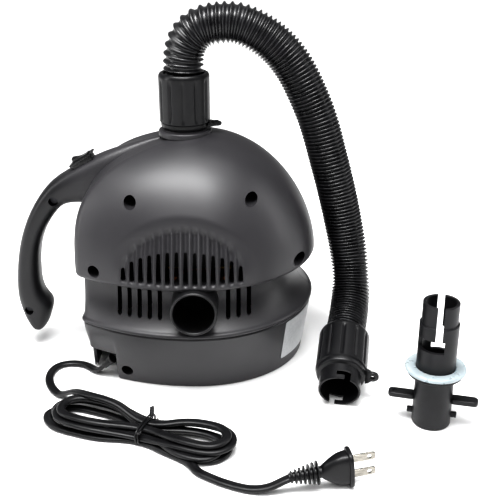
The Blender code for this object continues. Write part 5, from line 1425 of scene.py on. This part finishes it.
for side in (-1, 1):
    reach = WING_SPAN - ADAPTER_BORE_R - 0.0006
    outline = [
        (side * (ADAPTER_BORE_R + 0.0006 + reach / 2) + x, y)
        for x, y in block_outline(reach, WING_WIDE, 0.0030)
    ]
    wing = rounded_slab(outline, WING_Z - WING_THICK / 2, WING_Z + WING_THICK / 2, 0.0009)
    adapter_parts.append(carved(wing, [wing_eye.copy()]) if side < 0 else wing)
    pin = [(0.0001, 0.0), (0.0025, 0.0), (0.0025, 0.0053), (0.0021, 0.0058), (0.0001, 0.0058)]
    pin_place = Matrix.Translation((side * (ADAPTER_BORE_R + 0.0006), 0, PIN_Z))
    turned = Matrix.Rotation(side * math.pi / 2, 4, "Y")
    adapter_parts.append(placed(lathe_mesh(pin, 28), pin_place @ turned))
facing = Matrix.Rotation(ADAPTER_TURN, 4, "Z")
stand = Matrix.Translation((ADAPTER_X, ADAPTER_Y, 0.0)) @ facing
adapter_black, adapter_shader, adapter_tree = finish(
    "adapter_abs", (0.011, 0.011, 0.012), 0.42, ior=1.42
)
adapter_cloud = pattern(adapter_tree, "ShaderNodeTexNoise", 90.0, Detail=4.0)
tint(
    adapter_tree, adapter_shader, adapter_cloud.outputs["Fac"],
    (0.010, 0.010, 0.011), (0.015, 0.015, 0.017),
)
adapter_grain = pattern(adapter_tree, "ShaderNodeTexNoise", 1600.0, Detail=2.0)
dull(adapter_tree, adapter_shader, adapter_grain.outputs["Fac"], 0.34, 0.46)
relief(adapter_tree, adapter_shader, adapter_grain.outputs["Fac"], 0.00003, 0.5)
adapter = piece(
    "valve_adapter", placed(joined("valve_adapter", adapter_parts), stand), "adapter",
    adapter_black, smooth=35,
)
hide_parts("adapter_body")

washer_bend = np.radians(np.linspace(-90, 90, 9))
washer_low, washer_top = WASHER_LOW.z, WASHER_HIGH.z
washer_half = (washer_top - washer_low) / 2
washer_r = (WASHER_HIGH.x - WASHER_LOW.x) / 2
washer_profile = [
    (washer_r - washer_half + washer_half * math.cos(a), washer_low + washer_half * (1 + math.sin(a)))
    for a in washer_bend
]
washer_profile += [
    (ADAPTER_R + 0.0008, washer_top), (ADAPTER_R + 0.0003, washer_top - 0.0005),
    (ADAPTER_R + 0.0003, washer_low + 0.0005), (ADAPTER_R + 0.0008, washer_low),
]
washer_clear, washer_shader, washer_tree = finish(
    "washer_silicone", (0.50, 0.57, 0.60), 0.30, ior=1.42
)
washer_shader.inputs["Transmission Weight"].default_value = 0.30
washer_shader.inputs["Subsurface Weight"].default_value = 0.15
washer_shader.inputs["Subsurface Radius"].default_value = (0.004, 0.005, 0.006)
washer_cloud = pattern(washer_tree, "ShaderNodeTexNoise", 150.0, Detail=4.0)
dull(washer_tree, washer_shader, washer_cloud.outputs["Fac"], 0.24, 0.38)
tint(washer_tree, washer_shader, washer_cloud.outputs["Fac"], (0.46, 0.53, 0.56), (0.56, 0.62, 0.64))
relief(washer_tree, washer_shader, washer_cloud.outputs["Fac"], 0.00004, 0.4)
washer = piece(
    "soft_washer", placed(lathe_mesh(washer_profile, 120), stand), "adapter", washer_clear, smooth=60,
)
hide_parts("adapter_washer")

# ---- Inside parts --------------------------------------------------------------------------
# The universal motor, its brushes and bearings, the fan and its case, and every screw keep
# their solids; each kind of metal or plastic gets its own worn or wound surface here.


def inside_finish(name, dark, light, rough, metallic, scale, stretch=(1, 1, 1), depth=0.00002):
    """A finish whose colour, roughness and bump all follow one noise in the part's space."""
    material, shader, tree = finish(name, light, rough, metallic)
    noise = pattern(tree, "ShaderNodeTexNoise", scale, stretch=stretch, Detail=4.0)
    tint(tree, shader, noise.outputs["Fac"], dark, light)
    dull(tree, shader, noise.outputs["Fac"], rough * 0.8, rough * 1.25)
    relief(tree, shader, noise.outputs["Fac"], depth, 0.6)
    return material


zinc_steel = inside_finish(
    "blackened_steel", (0.030, 0.030, 0.033), (0.060, 0.060, 0.064), 0.38, 0.9, 900.0
)
bright_steel = inside_finish(
    "ground_steel", (0.42, 0.42, 0.43), (0.60, 0.60, 0.61), 0.28, 1.0, 500.0, (1, 1, 8)
)
stacked_steel = inside_finish(
    "stacked_laminations", (0.10, 0.10, 0.11), (0.24, 0.24, 0.25), 0.42, 0.9, 60.0,
    (0.05, 0.05, 30.0), 0.00008,
)
wound_copper = inside_finish(
    "wound_copper", (0.30, 0.10, 0.035), (0.62, 0.26, 0.10), 0.32, 0.9, 90.0,
    (0.4, 0.4, 22.0), 0.00012,
)
segment_copper = inside_finish(
    "commutator_copper", (0.45, 0.20, 0.10), (0.70, 0.36, 0.19), 0.30, 1.0, 700.0
)
plain_brass = inside_finish(
    "plain_brass", (0.50, 0.36, 0.12), (0.66, 0.49, 0.19), 0.32, 1.0, 600.0
)
brush_carbon = inside_finish(
    "brush_carbon", (0.014, 0.014, 0.015), (0.030, 0.030, 0.031), 0.60, 0.0, 1500.0
)
motor_nylon = inside_finish(
    "motor_nylon", (0.018, 0.018, 0.019), (0.034, 0.034, 0.036), 0.45, 0.0, 800.0
)
INSIDE_PARTS = (
    (zinc_steel, [f"case_screw_{i}" for i in range(1, 8)]),
    (zinc_steel, [f"plate_screw_{i}" for i in range(1, 4)]),
    (bright_steel, ["stack_screw_1", "stack_screw_2"]),
    (bright_steel, ["motor_shaft", "lower_bearing", "upper_bearing"]),
    (stacked_steel, ["stator_core", "rotor_core"]),
    (wound_copper, [
        "field_coil_left", "field_coil_right", "rotor_winding_lower", "rotor_winding_upper",
    ]),
    (segment_copper, ["commutator"]),
    (plain_brass, ["brush_holder_left", "brush_holder_right", "impeller_nut"]),
    (brush_carbon, ["brush_left", "brush_right"]),
    (motor_nylon, ["motor_foot", "motor_cap", "impeller", "fan_case", "fan_floor"]),
)
for material, nodes in INSIDE_PARTS:
    for node in nodes:
        solid = bpy.data.objects[node]
        solid.data.materials.clear()
        solid.data.materials.append(material)
